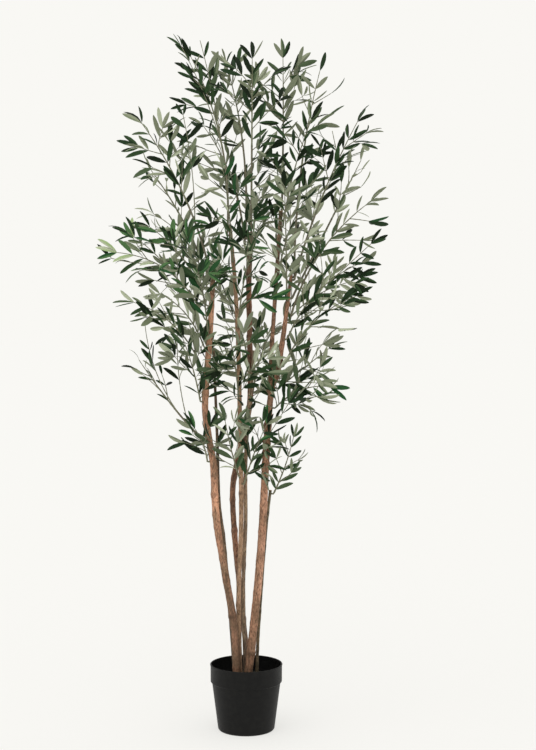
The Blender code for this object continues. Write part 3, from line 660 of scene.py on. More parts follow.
def ring_faces(count, rings, sides):
    """Faces of `count` alike skins, each of `rings` rings of points, then a point for the fan that closes
    its first ring and one for the fan that closes its last: quads between the rings, and triangles.
    They look outwards where the sides run counterclockwise, seen from the last ring."""
    side = np.arange(sides)
    onward = (side + 1) % sides
    row = np.arange(rings - 1)[:, None] * sides
    band = np.stack([row + side, row + onward, row + sides + onward, row + sides + side], axis=-1)
    last = (rings - 1) * sides
    first_fan = np.stack([onward, side, np.full(sides, rings * sides)], axis=-1)
    last_fan = np.stack([last + side, last + onward, np.full(sides, rings * sides + 1)], axis=-1)
    starts = np.arange(count)[:, None, None] * (rings * sides + 2)
    fans = np.concatenate([first_fan, last_fan])
    return (band.reshape(-1, 4) + starts).reshape(-1, 4), (fans + starts).reshape(-1, 3)


def tubes(lines, radii, sides):
    """Closed tubes round many lines at once: points and faces.

    A point is line(k) + radius(k, angle)·(across·cos angle + beyond·sin angle), where across and beyond
    stand square to the line. Both ends close in a fan to a point on the line. `lines` is an array of
    (tubes, rings, 3) and `radii` one that broadcasts to (tubes, rings, sides)."""
    count, rings = lines.shape[:2]
    along = unit(np.gradient(lines, axis=1))
    level = np.abs(along.mean(axis=1)).argmin(axis=-1)
    start = np.eye(3)[level][:, None, :]
    across = unit(start - (start * along).sum(-1, keepdims=True) * along)
    beyond = np.cross(along, across)
    angle = angles(sides)[:, None]
    ring = across[:, :, None] * np.cos(angle) + beyond[:, :, None] * np.sin(angle)
    skin = lines[:, :, None] + ring * np.broadcast_to(radii, (count, rings, sides))[..., None]
    points = np.concatenate([skin.reshape(count, -1, 3), lines[:, :1], lines[:, -1:]], axis=1)
    return points.reshape(-1, 3), *ring_faces(count, rings, sides)


def joined(parts):
    """Several (points, quads, triangles) as one."""
    points, quads, triangles, offset = [], [], [], 0
    for part_points, part_quads, part_triangles in parts:
        points.append(part_points)
        quads.append(part_quads + offset)
        triangles.append(part_triangles + offset)
        offset += len(part_points)
    return np.concatenate(points), np.concatenate(quads), np.concatenate(triangles)


def piece(name, points, quads, triangles, materials, slot, nodes):
    """A new piece of the tree with smooth faces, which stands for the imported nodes."""
    mesh = bpy.data.meshes.new(name)
    faces = [face for face in (quads, triangles) if len(face)]
    corners = np.concatenate([face.ravel() for face in faces]).astype(np.int32)
    sizes = np.concatenate([np.full(len(face), face.shape[1]) for face in faces])
    mesh.vertices.add(len(points))
    mesh.vertices.foreach_set("co", points.astype(np.float32).ravel())
    mesh.loops.add(len(corners))
    mesh.loops.foreach_set("vertex_index", corners)
    mesh.polygons.add(len(sizes))
    mesh.polygons.foreach_set("loop_start", (np.cumsum(sizes) - sizes).astype(np.int32))
    mesh.update(calc_edges=True)
    mesh.shade_smooth()
    for material in materials:
        mesh.materials.append(material)
    made = bpy.data.objects.new(name, mesh)
    bpy.context.scene.collection.objects.link(made)
    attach(made, "root")
    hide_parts(*nodes)
    return made


def give_attribute(mesh, name, values):
    """A number at each point of the mesh, for its material to read."""
    layer = mesh.attributes.new(name, "FLOAT", "POINT")
    layer.data.foreach_set("value", np.asarray(values, np.float32))


RIPPLE_WAVES = 7
RIPPLE_FINER = 1.45  # how many times finer each wave is than the one before
RIPPLE_FADE = 0.6  # the power by which a finer wave is weaker
RIPPLE_HEIGHT = 2.6  # about how high the waves' sum stands


def ripple(places, seed):
    """Soft uneven relief between about -1 and 1: a sum of sines that run across the places in directions
    and with phases drawn from the seed, each finer and weaker than the one before."""
    rng = np.random.default_rng(seed)
    total = np.zeros(places.shape[:-1])
    for wave in range(RIPPLE_WAVES):
        direction = unit(rng.normal(size=places.shape[-1]))
        fineness = RIPPLE_FINER**wave
        total += np.sin(places @ direction * fineness + rng.uniform(0, 2 * np.pi)) / fineness**RIPPLE_FADE
    return total / RIPPLE_HEIGHT


# ---------------------------------------------------------------- leaves

# A blade: rings across it at these shares of its length, between its root and its tip. Round a ring
# stand a rim point, three points of the upper side, the other rim and the midrib below.
BLADE_RINGS = np.array((0.05, 0.17, 0.36, 0.62, 0.84, 0.95))
RING_ACROSS = np.array((-1.0, -0.5, 0.0, 0.5, 1.0, 0.0))  # shares of the half width
RING_HEIGHT = np.array((0.0, 0.30, 0.35, 0.30, 0.0, -0.55))  # shares of a blade's thickness, above its fold
RING_POINTS = len(RING_ACROSS)
RIM_POINTS = (0, 4)  # the two rims among them
SIDE_OF_BAND = np.array((0, 0, 0, 0, 1, 1))  # which side each band round a ring is on: 0 for the upper
HALF_OF_BAND = np.array((0, 0, 1, 1, 1, 0))  # which half of the blade each band is in
BLADE_POINTS = len(BLADE_RINGS) * RING_POINTS + 2
BLADE_THICKNESS = 0.0009
BLADE_FOLD = 0.34  # how far the rims stand above the midrib, as a share of the half width
BLADE_CURL = (0.08, 0.55)  # how far a blade bends down over its length, in radians, least and most
ROLLED_CURL = 1.0  # how much more a blade bends that is rolled up to nothing
BLADE_SICKLE = 0.10  # how far its tip may swing sideways, as a share of its length
BLADE_TWIST = 0.45
BLADE_STALK = 0.03  # a blade's stalk as a share of its length
BLADE_FULLEST = 1.12  # over 1 draws the widest place towards the tip
BLADE_BLUNT = (2.3, 0.8)  # the powers of its oval


def blade_width(share):
    """Half width along a blade, as a share of the greatest: a blunt oval, (1 - |2q - 1|^a)^b, where
    q runs from 0 after a short stalk to 1 at the tip and is drawn a little towards the tip."""
    q = np.clip((share - BLADE_STALK) / (1 - BLADE_STALK), 0, 1) ** BLADE_FULLEST
    return (1 - np.abs(2 * q - 1) ** BLADE_BLUNT[0]) ** BLADE_BLUNT[1]


def blades(leaves, lengths, rng):
    """The points of many leaves at once, as (leaves, points, 3).

    The midrib leaves the root along the leaf and bends down on an arc: along·sin(curl·s)/curl -
    look·(1 - cos(curl·s))/curl, for s from 0 to 1, plus a sideways swing that grows with s². Each ring
    stands square to it, turned by a twist that grows with s."""
    count = len(leaves)
    parts = ("root", "along", "look")
    root, along, look = (np.array([getattr(leaf, part) for leaf in leaves])[:, None] for part in parts)
    look = unit(look - (look * along).sum(-1, keepdims=True) * along)
    across = np.cross(along, look)
    widths = np.array([leaf.width for leaf in leaves])[:, None, None]
    curl = rng.uniform(*BLADE_CURL, (count, 1, 1)) + ROLLED_CURL * np.clip(1 - widths, 0, 1)
    sickle = rng.uniform(-BLADE_SICKLE, BLADE_SICKLE, (count, 1, 1))
    twist = rng.uniform(-BLADE_TWIST, BLADE_TWIST, (count, 1, 1))
    length = lengths[:, None, None]
    share = np.concatenate([[0], BLADE_RINGS, [1]])[None, :, None]
    midrib = root + length * (
        along * np.sin(curl * share) / curl
        - look * (1 - np.cos(curl * share)) / curl
        + across * sickle * share**2
    )
    upward = look * np.cos(curl * share) + along * np.sin(curl * share)
    sideways = across * np.cos(twist * share) + upward * np.sin(twist * share)
    upward = upward * np.cos(twist * share) - across * np.sin(twist * share)
    width = LEAF_WIDTH * length / LEAF_LENGTH * widths
    half = (width[..., 0] / 2 * blade_width(BLADE_RINGS))[..., None, None]
    fold = np.abs(RING_ACROSS)[:, None] * BLADE_FOLD * half
    rings = (
        midrib[:, 1:-1, None]
        + sideways[:, 1:-1, None] * RING_ACROSS[:, None] * half
        + upward[:, 1:-1, None] * (fold + RING_HEIGHT[:, None] * BLADE_THICKNESS)
    )
    return np.concatenate([rings.reshape(count, -1, 3), midrib[:, :1], midrib[:, -1:]], axis=1)


FIT_TRIES = 3
FIT_SHRINK = 0.82


def fitted(leaves, low, high, rng):
    """The blades that stay in the room of their mass, low to high. One that leaves it is tried at
    shorter lengths before it is given up. Each try starts from the same draws."""
    lengths = np.array([leaf.length for leaf in leaves])
    state = rng.bit_generator.state
    for _ in range(FIT_TRIES):
        points = blades(leaves, lengths, rng)
        outside = ((points < low) | (points > high)).any(axis=(1, 2))
        lengths = np.where(outside, lengths * FIT_SHRINK, lengths)
        rng.bit_generator.state = state
    return points[~outside], [leaf for leaf, left in zip(leaves, outside) if not left]


def room_of(name):
    """The lowest and highest corner of the room that a spray's leaves may fill: its mass's box and a
    little more, and where spurs or forks grow on its foot, as far round the foot as a spur reaches. It
    never passes the whole tree's box."""
    low, high = (np.array(corner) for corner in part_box(f"leaves_{name}"))
    low, high = low - ROOM, high + ROOM
    if name in SPURS or name in FORKS:
        node = f"bough_{name}" if SPRAYS[name].bare else f"leaves_{name}"
        foot_low, foot_high = (np.array(corner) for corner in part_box(node))
        low = np.minimum(low, foot_low - SPUR_REACH)
        high = np.maximum(high, foot_high + SPUR_REACH)
    return np.maximum(low, CAD_BOX[0]), np.minimum(high, CAD_BOX[1])


def leaves_piece(region, sprays, nodes):
    """All leaves of a region as one piece: `sprays` gives each mass's leaves by name."""
    rng = np.random.default_rng(len(sprays))
    points, kept = [], []
    for name, leaves in sprays.items():
        spray_points, spray_leaves = fitted(leaves, *room_of(name), rng)
        points.append(spray_points)
        kept += spray_leaves
    quads, triangles = ring_faces(len(kept), len(BLADE_RINGS), RING_POINTS)
    points = np.concatenate(points).reshape(-1, 3)
    materials = LEAF_MATERIALS.values()
    made = piece(f"olive_leaves_{region}", points, quads, triangles, materials, "olive_leaves", nodes)
    finish_blades(made.data, kept, rng)


def finish_blades(mesh, leaves, rng):
    """Gives each face its leaf's upper or lower tone, or on one half of some leaves the paler tone as
    painted light, the rims a sharp edge and the blades a map: across the leaf from 0 to 1, and from its
    root to its tip."""
    order = list(LEAF_MATERIALS)
    tones = np.array([(order.index(leaf.top), order.index(leaf.under)) for leaf in leaves])
    paler = np.array([order.index(PAINTED_LIT_HALF_TONE[name]) for name in order])
    # painted light: a random half of some blades takes the paler tone, as where the fold faces the light
    painted_lit_half = np.where(rng.random(len(leaves)) < PAINTED_LIT_SHARE, rng.integers(0, 2, len(leaves)), -1)
    in_painted_lit = HALF_OF_BAND == painted_lit_half[:, None]
    side = tones[:, SIDE_OF_BAND]
    ring = np.where(in_painted_lit, paler[side], side)
    bands, fans = (np.tile(ring, count).ravel() for count in (len(BLADE_RINGS) - 1, 2))
    mesh.polygons.foreach_set("material_index", np.concatenate([bands, fans]).astype(np.int32))
    ends = np.empty(len(mesh.edges) * 2, np.int32)
    mesh.edges.foreach_get("vertices", ends)
    place = ends.reshape(-1, 2) % BLADE_POINTS
    on_rim = np.isin(place % RING_POINTS, RIM_POINTS) | (place >= BLADE_POINTS - 2)
    sharp = mesh.attributes.new("sharp_edge", "BOOLEAN", "EDGE")
    sharp.data.foreach_set("value", on_rim.all(axis=1))
    corners = np.empty(len(mesh.loops), np.int32)
    mesh.loops.foreach_get("vertex_index", corners)
    across = np.append(np.tile((RING_ACROSS + 1) / 2, len(BLADE_RINGS)), (0.5, 0.5))
    onward = np.append(np.repeat(BLADE_RINGS, RING_POINTS), (0.0, 1.0))
    places = np.stack([across, onward], axis=-1)[corners % BLADE_POINTS]
    layer = mesh.uv_layers.new(name="blade")
    layer.uv.foreach_set("vector", places.astype(np.float32).ravel())


# ---------------------------------------------------------------- twigs and boughs

TWIG_SWELL = 0.12  # how much a twig's radius rises and falls from ring to ring


def shoots_piece(region, shoots, nodes):
    """All shoots of a region as one piece, each drawn as a tapering tube."""
    parts = []
    for drawn in sorted({shoot.drawn for shoot in shoots}):
        rings, sides = drawn
        group = [shoot for shoot in shoots if shoot.drawn == drawn]
        lines = np.array([part_of_line(shoot.path, 0, 1, rings) for shoot in group])
        foot, tip = np.array([(shoot.foot, shoot.tip) for shoot in group]).T[..., None, None]
        share = np.linspace(0, 1, rings)[:, None]
        swell = 1 + TWIG_SWELL * np.cos(np.pi * np.arange(rings))[:, None]
        parts.append(tubes(lines, (foot + (tip - foot) * share) * swell, sides))
    piece(f"olive_twigs_{region}", *joined(parts), [MATERIALS["twig"]], "bough_plastic", nodes)


def grooved(grooves, angle, run, seed=0):
    """Grooves as shares of the radius: sines round a limb that drift along it, one for each (number
    round it, drift in radians a metre, depth, how far the seed turns it)."""
    total = 0
    for number, drift, depth, turn in grooves:
        total = total + depth * np.sin(number * angle + drift * run + turn * seed)
    return total


BOUGH_DRAWN = (60, 16)
BOUGH_SHARE = 0.97  # a bough's radius between its scars as a share of its solid's
BOUGH_GROOVES = ((5, 60, 0.035, 0), (9, -140, 0.020, 0))
SCAR_STEP = 0.010  # from leaf scar to leaf scar along a bough
SCAR_SWELL = 0.07
SCAR_REACH = 0.16  # as a share of their step


def bough_piece(name, line):
    """A bare bough: a tapering tube with grooves, whose radius swells at each leaf scar by
    exp(-(way from the scar/reach)²)."""
    rings, sides = BOUGH_DRAWN
    path = smooth_line(line, rings)[None]
    run = np.linspace(0, length_of(line), rings)[:, None]
    taper = BOUGH_RADIUS + (STEM_RADIUS - BOUGH_RADIUS) * np.linspace(0, 1, rings)[:, None]
    scars = SCAR_SWELL * np.exp(-((((run / SCAR_STEP) % 1) - 0.5) / SCAR_REACH) ** 2)
    relief = BOUGH_SHARE + scars + grooved(BOUGH_GROOVES, angles(sides), run)
    skin = tubes(path, (taper * relief)[None], sides)
    piece(f"bare_bough_{name}", *skin, [MATERIALS["bough"]], "bough_plastic", [f"bough_{name}"])


# ---------------------------------------------------------------- trunks

# The poles' bark: its pale, middle and dark tones and that of the bare wood where it is rubbed, the
# heights of its big knots and of its rubbed places, the height below which it is darker, and how
# green-grey its head is.
Bark = namedtuple("Bark", "pale mid dark bare knots rubbed foot head")
BARKS = {
    "trunk_left": Bark(
        tone(186, 136, 108), tone(134, 106, 82), tone(76, 58, 44), tone(255, 190, 152),
        (0.35, 0.72, 1.02), (0.66, 0.70, 0.74, 0.90, 0.95, 1.00, 1.06, 1.12, 1.20, 1.26), 0.58, 0.1,
    ),
    "trunk_left_slim": Bark(
        tone(128, 110, 88), tone(84, 70, 54), tone(48, 40, 30), tone(150, 120, 96),
        (0.46, 0.83), (), 0.50, 0.3,
    ),
    "trunk_crossing": Bark(
        tone(150, 110, 84), tone(108, 80, 62), tone(58, 42, 34), tone(190, 134, 104),
        (0.33, 0.60, 0.88, 1.10, 1.38), (0.54, 0.59, 1.26, 1.32), 0.34, 0.9,
    ),
    "trunk_middle": Bark(
        tone(192, 156, 126), tone(158, 128, 100), tone(86, 68, 52), tone(208, 168, 138),
        (0.38, 0.72, 0.95, 1.22, 1.42), (0.46, 0.58, 0.66, 0.78, 0.93, 1.30, 1.48), 0.40, 0.35,
    ),
    "trunk_middle_short": Bark(
        tone(174, 150, 122), tone(132, 112, 92), tone(72, 60, 48), tone(188, 156, 128),
        (0.50, 0.86), (0.74, 0.94), 0.40, 0.4,
    ),
    "trunk_right": Bark(
        tone(182, 134, 106), tone(136, 104, 80), tone(70, 52, 38), tone(212, 160, 132),
        (0.24, 0.81, 0.84, 0.875, 0.93, 1.12), (0.44, 0.49, 0.57, 0.70, 1.02, 1.16, 1.26), 0.38, 0.0,
    ),
    "trunk_right_fork": Bark(
        tone(158, 122, 94), tone(114, 88, 66), tone(58, 44, 34), tone(190, 146, 118),
        (1.18, 1.38), (1.20, 1.28), 0.0, 0.3,
    ),
    "trunk_right_slim": Bark(
        tone(128, 112, 86), tone(92, 80, 60), tone(48, 42, 32), tone(150, 122, 96),
        (0.36, 0.56, 0.66), (), 0.34, 0.3,
    ),
}
CENTRE_STEPS = 800  # points that a pole's rings are picked from
BARK_STEP = 0.0035  # from ring to ring
BARK_SIDES = 30
BARK_SHARE = 0.96  # a pole's radius between its knots as a share of its solid's
SET_IN = 0.006  # how far a pole goes into the cement

# A pole's relief, as shares of its radius.
POLE_GROOVES = ((3, 9, 0.030, 1), (5, -14, 0.022, 0), (8, 23, 0.014, 2))
BUMPS = ((0.050, 2.2), (0.036, 5.2))  # how high they stand and how fine they are
BUMPS_UP = 40  # how fine they are along the pole, in waves' radians a metre
KNOT_SWELL = 0.30
RUBBED_DENT = 0.03
FORK_FLARE = 0.5
FLARE_REACH = 0.012
SAWN_BEVEL = 0.93  # the radius of the saw cut
SAWN_RISE = 0.2  # how far the cut stands past the last ring, in steps from ring to ring

# Knots: how large the big and the small ones are, as shares, how a knot's half height follows from that,
# and how closely it keeps to its side.
BIG_KNOTS = (0.85, 1.0)
SMALL_KNOTS = (0.2, 0.5)
KNOT_GAP = 0.085  # about how far small knots stand apart
KNOT_STRAYS = 0.03  # how far each may stand from there
KNOT_ENDS = (0.03, 0.02)  # how far they stay from the pole's foot and top
KNOT_HEIGHT = 0.0055
KNOT_GROWTH = 0.0035
KNOT_NARROW = 2.2
KNOT_COLLAR = 0.52  # how much of a knot stands all the way round the pole

# Rubbed places: the sides of the pole that they face, how far they reach along it and round it.
RUBBED_SIDES = (-2.4, -0.7)
RUBBED_REACH = 0.032
RUBBED_NARROW = 1.2


def trunk_centre(trunk):
    """The trunk's centre line through its solid's rings, from the cement, or from inside the trunk that
    it forks from."""
    if trunk.fork_of:
        surface, normal = seat(*trunk.fork_of, trunk.line[0])
        neck = surface + normal * FORK_NECK
        line = [surface - normal * SUNK, *smooth_line([neck, *trunk.line], TRUNK_RINGS - 1)]
        return smooth_line(line, round((trunk.line[-1][2] - neck.z) / BARK_STEP))
    line = smooth_line(smooth_line(trunk.line, TRUNK_RINGS), CENTRE_STEPS)
    line = line[line[:, 2] > FILL_TOP - SET_IN]
    return line[:: max(1, round(len(line) * BARK_STEP / (line[-1, 2] - FILL_TOP)))]


def bells(line, angle, heights, reach, facing, narrow, collar=0):
    """Marks on a pole as (rings, sides, marks): exp(-(rise/reach)²) along it, times a bell round it that
    looks to the mark's own side, exp(narrow·(cos(angle - facing) - 1)), over a collar all the way round."""
    rise = (line[:, 2][:, None, None] - heights) / reach
    bell = np.exp(narrow * (np.cos(angle[:, None] - facing) - 1))
    return np.exp(-rise**2) * (collar + (1 - collar) * bell)


def knots_on(line, angle, bark, seed):
    """How much of a knot each point of a pole is, from 0 to 1: the big knots at their heights, and small
    ones between its foot and its top."""
    rng = np.random.default_rng(seed)
    small = np.arange(line[0, 2] + KNOT_ENDS[0], line[-1, 2] - KNOT_ENDS[1], KNOT_GAP)
    small = small + rng.uniform(-KNOT_STRAYS, KNOT_STRAYS, len(small))
    heights = np.concatenate([bark.knots, small])
    big_sizes = rng.uniform(*BIG_KNOTS, len(bark.knots))
    sizes = np.concatenate([big_sizes, rng.uniform(*SMALL_KNOTS, len(small))])
    facing = rng.uniform(0, 2 * np.pi, len(heights))
    reach = KNOT_HEIGHT + KNOT_GROWTH * sizes
    marks = bells(line, angle, heights, reach, facing, KNOT_NARROW, KNOT_COLLAR)
    return np.clip((sizes * marks).sum(-1), 0, 1)


def rubbed_on(line, angle, bark, seed):
    """Where the bark is rubbed down to paler wood, from 0 to 1: broad bells at the named heights."""
    facing = np.random.default_rng(seed).uniform(*RUBBED_SIDES, len(bark.rubbed))
    marks = bells(line, angle, np.array(bark.rubbed), RUBBED_REACH, facing, RUBBED_NARROW)
    return np.clip(marks.sum(-1), 0, 1)


def trunk_piece(name, trunk):
    """A pole with its bark's relief. Its radius is the solid's, drawn in a little, times 1 plus
    lengthwise grooves, bumps, a swelling at each knot and a flare where it forks from another, less a
    dent where it is rubbed. It ends in a bevelled saw cut."""
    bark = BARKS[name]
    seed = sum(map(ord, name))
    line = trunk_centre(trunk)
    angle = angles(BARK_SIDES)
    height = line[:, 2][:, None]
    share = np.clip((height - height[0]) / (height[-1] - height[0]), 0, 1)
    knots = knots_on(line, angle, bark, seed)
    rubbed = rubbed_on(line, angle, bark, seed)
    around = np.stack(np.broadcast_arrays(np.cos(angle), np.sin(angle), height * BUMPS_UP), axis=-1)
    bumps = sum(rise * ripple(around * fineness, seed + k) for k, (rise, fineness) in enumerate(BUMPS))
    relief = grooved(POLE_GROOVES, angle, height, seed) + bumps + KNOT_SWELL * knots - RUBBED_DENT * rubbed
    if trunk.fork_of:
        relief = relief + FORK_FLARE * np.exp(-(height - height[0]) / FLARE_REACH)
    radii = trunk_radius(trunk, share) * BARK_SHARE * (1 + relief)
    line = np.concatenate([line, line[-1:] + (line[-1:] - line[-2:-1]) * SAWN_RISE])
    radii = np.concatenate([radii, radii[-1:] * SAWN_BEVEL])
    points, quads, triangles = tubes(line[None], radii[None], BARK_SIDES)
    materials = [bark_material(name, bark, line[-1, 2]), MATERIALS["sawn"]]
    pole = name.replace("trunk", "pole")
    made = piece(pole, points, quads, triangles, materials, "trunk_wood", [name])
    on_ends = np.zeros(len(points) - radii.size)
    give_attribute(made.data, "knot", np.concatenate([knots.ravel(), knots[-1], on_ends]))
    give_attribute(made.data, "rubbed", np.concatenate([rubbed.ravel(), rubbed[-1], on_ends]))
    give_attribute(made.data, "from_pith", np.concatenate([radii.ravel(), on_ends]))
    sawn = np.zeros(len(made.data.polygons), np.int32)
    sawn[len(quads) - BARK_SIDES : len(quads)] = 1
    sawn[len(quads) + BARK_SIDES :] = 1
    made.data.polygons.foreach_set("material_index", sawn)


# ---------------------------------------------------------------- pot and cement

POT_SIDES = 144
BEAD = 0.0021  # radius of the rounded lip
BEAD_END = -0.6  # where its round ends outside, as an angle below level
BEAD_STEPS = 12
CHAMFER = 0.004  # height of the foot's chamfer
INNER_EASE = 0.002  # how far from a corner its easing starts, inside and outside
OUTER_EASE = 0.0009
EASE_STEPS = 5
EASE_MOST = 1 / 2.1  # never past this share of the way to the next corner


def rounded(corners, radius):
    """An outline through the corners with each inner corner eased by a quadratic curve that starts and
    ends `radius` away from it."""
    corners = np.array(corners, float)
    outline = [corners[:1]]
    t = np.linspace(0, 1, EASE_STEPS)[:, None]
    for before, corner, after in zip(corners, corners[1:], corners[2:]):
        room = min(np.linalg.norm(corner - before), np.linalg.norm(after - corner))
        reach = min(radius, room * EASE_MOST)
        start = corner + unit(before - corner) * reach
        end = corner + unit(after - corner) * reach
        outline.append((1 - t) ** 2 * start + 2 * t * (1 - t) * corner + t**2 * end)
    outline.append(corners[-1:])
    return np.concatenate(outline)


def turned(profile, lift=0):
    """A solid turned about Z from an outline of (radius, height) points, which runs from the axis out
    over what looks up and back to the axis under what looks down: points and faces. `lift` adds a
    height to each point, as an array of (rings, sides)."""
    angle = angles(POT_SIDES)
    radius, height = profile[1:-1, 0][:, None], profile[1:-1, 1][:, None]
    places = np.broadcast_arrays(radius * np.cos(angle), radius * np.sin(angle), height + lift)
    points = np.stack(places, axis=-1).reshape(-1, 3)
    poles = np.array([(0, 0, profile[0, 1]), (0, 0, profile[-1, 1])])
    quads, fans = ring_faces(1, len(profile) - 2, POT_SIDES)
    return np.concatenate([points, poles]), quads[:, (0, 3, 2, 1)], fans[:, (1, 0, 2)]


def body_radius(height):
    """Outer radius of the pot's tapered body, under its band."""
    top = RIM_RADIUS - BAND_TAPER - BAND_STEP
    return FOOT_RADIUS + (top - FOOT_RADIUS) * height / (POT_HEIGHT - BAND_HEIGHT)


def pot_piece():
    """The pot turned from its outline: up the inside, over the rounded lip, and down the band, its
    step and the tapered body to a chamfered foot with a shallow hollow under it."""
    band_foot = POT_HEIGHT - BAND_HEIGHT
    band = RIM_RADIUS - BAND_TAPER
    inside = [(0, WALL), (body_radius(WALL) - WALL, WALL), (body_radius(band_foot) - WALL, band_foot),
              (band - WALL, band_foot + WALL), (RIM_RADIUS - WALL, POT_HEIGHT - 2 * BEAD)]
    turn = np.linspace(np.pi, BEAD_END, BEAD_STEPS)[:, None]
    bead = BEAD * np.concatenate([np.cos(turn), np.sin(turn)], axis=1)
    bead = bead + (RIM_RADIUS - BEAD, POT_HEIGHT - BEAD)
    outside = [(RIM_RADIUS - LIP, POT_HEIGHT - 2 * BEAD - LIP), (band, band_foot + LIP),
               (band - LIP, band_foot), (body_radius(band_foot) + LIP, band_foot - LIP / 2),
               (body_radius(band_foot - 2 * LIP), band_foot - 2 * LIP), (body_radius(CHAMFER), CHAMFER),
               (FOOT_RADIUS - WALL, 0), (FOOT_RADIUS - 4 * WALL, 0), (FOOT_RADIUS - 5 * WALL, WALL / 2),
               (0, WALL / 2)]
    profile = np.concatenate([rounded(inside, INNER_EASE), bead, rounded(outside, OUTER_EASE)])
    piece("nursery_pot", *turned(profile), [MATERIALS["pot"]], "pot_plastic", ["pot"])


CEMENT_RINGS = 46
CEMENT_PITH = 0.001  # radius of its first ring
CEMENT_SKIRT = 0.010  # how far down it draws in from the wall
CEMENT_FOOT = 0.010  # height of its underside
CEMENT_LIFT = 0.0016  # how high its ripple stands
CEMENT_RIPPLES = ((1, 160, 3), (0.35, 900, 4))  # each one's share of that, its fineness and its seed
POLE_FILLET = (2.5, 0.003)  # how high it rises at a pole, in lifts, and how far out from it
WALL_FILLET = (1, 0.004)  # the same at the wall


def cement_piece():
    """The cement: a disc whose height ripples and rises by exp(-way/reach) against the wall and round
    the foot of each pole, and a skirt down to the pot's floor."""
    edge = body_radius(POT_HEIGHT - BAND_HEIGHT) - WALL
    radius = np.linspace(CEMENT_PITH, edge, CEMENT_RINGS)
    disc = np.stack([radius, np.full(CEMENT_RINGS, FILL_TOP)], axis=-1)
    foot = body_radius(CEMENT_FOOT) - 2 * WALL
    skirt = [(edge - CEMENT_PITH, FILL_TOP - CEMENT_SKIRT), (foot, CEMENT_FOOT)]
    profile = np.concatenate([[(0, FILL_TOP)], disc, skirt, [(0, CEMENT_FOOT)]])
    angle = angles(POT_SIDES)
    places = np.stack([radius[:, None] * np.cos(angle), radius[:, None] * np.sin(angle)], axis=-1)
    lift = sum(share * ripple(places * fineness, seed) for share, fineness, seed in CEMENT_RIPPLES)
    for trunk in TRUNKS.values():
        if not trunk.fork_of:
            away = np.linalg.norm(places - smooth_line(trunk.line, TRUNK_STEPS)[2, :2], axis=-1)
            way = np.maximum(away - trunk.foot / 2, 0)
            lift = lift + POLE_FILLET[0] * np.exp(-way / POLE_FILLET[1])
    lift = lift + WALL_FILLET[0] * np.exp(-(edge - radius[:, None]) / WALL_FILLET[1])
    lift = np.concatenate([lift * CEMENT_LIFT, np.zeros((len(skirt), POT_SIDES))])
    piece("set_cement", *turned(profile, lift), [MATERIALS["cement"]], "cement", ["cement"])


# ---------------------------------------------------------------- finishes


def put(tree, kind, settings=None, **inputs):
    """A new shader node, its settings, and its inputs by name, as numbers or as other nodes' outputs."""
    made = tree.nodes.new(f"ShaderNode{kind}")
    for key, value in (settings or {}).items():
        setattr(made, key, value)
    for key, value in inputs.items():
        set_input(tree, made.inputs[key.replace("_", " ")], value)
    return made


def set_input(tree, socket, value):
    if isinstance(value, bpy.types.NodeSocket):
        tree.links.new(value, socket)
    else:
        socket.default_value = value


def result(tree, operation, *values):
    """A Math node's result."""
    made = put(tree, "Math", {"operation": operation})
    for socket, value in zip(made.inputs, values):
        set_input(tree, socket, value)
    return made.outputs[0]


def sum_of(tree, *weighted):
    """The sum of values, each given with its weight."""
    total = 0.0
    for value, weight in weighted:
        total = result(tree, "MULTIPLY_ADD", value, weight, total)
    return total


MIX_INPUTS = (0, 6, 7)  # the sockets of a Mix node's share and of its two colours
MIX_OUTPUT = 2


def blend(tree, share, first, second):
    """Two colours mixed by a share."""
    made = put(tree, "Mix", {"data_type": "RGBA"})
    for number, value in zip(MIX_INPUTS, (share, first, second)):
        set_input(tree, made.inputs[number], value)
    return made.outputs[MIX_OUTPUT]


def stretch(tree, value, low, high, to_low=0.0, to_high=1.0):
    """A value's range low to high carried to another, and held there."""
    made = put(tree, "MapRange", Value=value, From_Min=low, From_Max=high, To_Min=to_low, To_Max=to_high)
    return made.outputs["Result"]


def own_places(tree):
    return put(tree, "TexCoord").outputs["Object"]


def attribute(tree, name):
    return put(tree, "Attribute", {"attribute_name": name}).outputs["Fac"]


def noise(tree, places, scale, detail=3.0, roughness=0.55):
    """A noise's value. Its scale is a number, or one for each of X, Y and Z."""
    if isinstance(scale, tuple):
        places = put(tree, "Mapping", Vector=places, Scale=scale).outputs[0]
        scale = 1.0
    made = put(tree, "TexNoise", Vector=places, Scale=scale, Detail=detail, Roughness=roughness)
    return made.outputs["Fac"]


def new_group(name, outputs, **inputs):
    """An empty node group with named sockets, its inputs' node and its outputs' node."""
    tree = bpy.data.node_groups.new(name, "ShaderNodeTree")
    for direction, sockets in (("INPUT", inputs), ("OUTPUT", outputs)):
        for socket, kind in sockets.items():
            tree.interface.new_socket(socket, in_out=direction, socket_type=f"NodeSocket{kind}")
    return tree, tree.nodes.new("NodeGroupInput").outputs, tree.nodes.new("NodeGroupOutput").inputs


RELIEF_ONLY = {"Roughness": "Float", "Height": "Float"}
COLOUR_TOO = {"Color": "Color", **RELIEF_ONLY}

# Bark: how fine its patterns are, as (scale, detail, roughness), and how each is stretched to a share of
# a tone, as (low, high, to low, to high).
FIBRES = ((190, 190, 30), 5.0, 0.65)
BLOTCHES = ((46, 46, 20), 4.0, 0.6)
SPECKS = ((340, 340, 110), 3.0, 0.6)
PALE_BLOTCHES = (0.43, 0.62, 0.0, 0.9)
DARK_FIBRES = (0.48, 0.34, 0.0, 0.7)
BARE_FIBRES = (0.35, 0.60, 0.3, 1.0)
DARK_SPECKS = (0.49, 0.66, 0.0, 0.85)
PALE_SPECKS = (0.40, 0.30, 0.0, 0.6)
RAGGED_EDGE = (0.3, 0.7, -0.25, 0.25)
DARK_KNOTS = (0.30, 0.85, 0.0, 0.8)
# painted shade: the poles darken with height, where the crown shades them
PAINTED_CROWN_SHADE = (1.10, 1.42, 0.0, 0.25)  # by the height
DARKER_FOOT = (0.0, -0.2, 0.0, 0.45)  # by the height above the one named Foot
GREY_HEAD = (0.02, 0.14, 1.0, 0.0)  # by the way down from the top
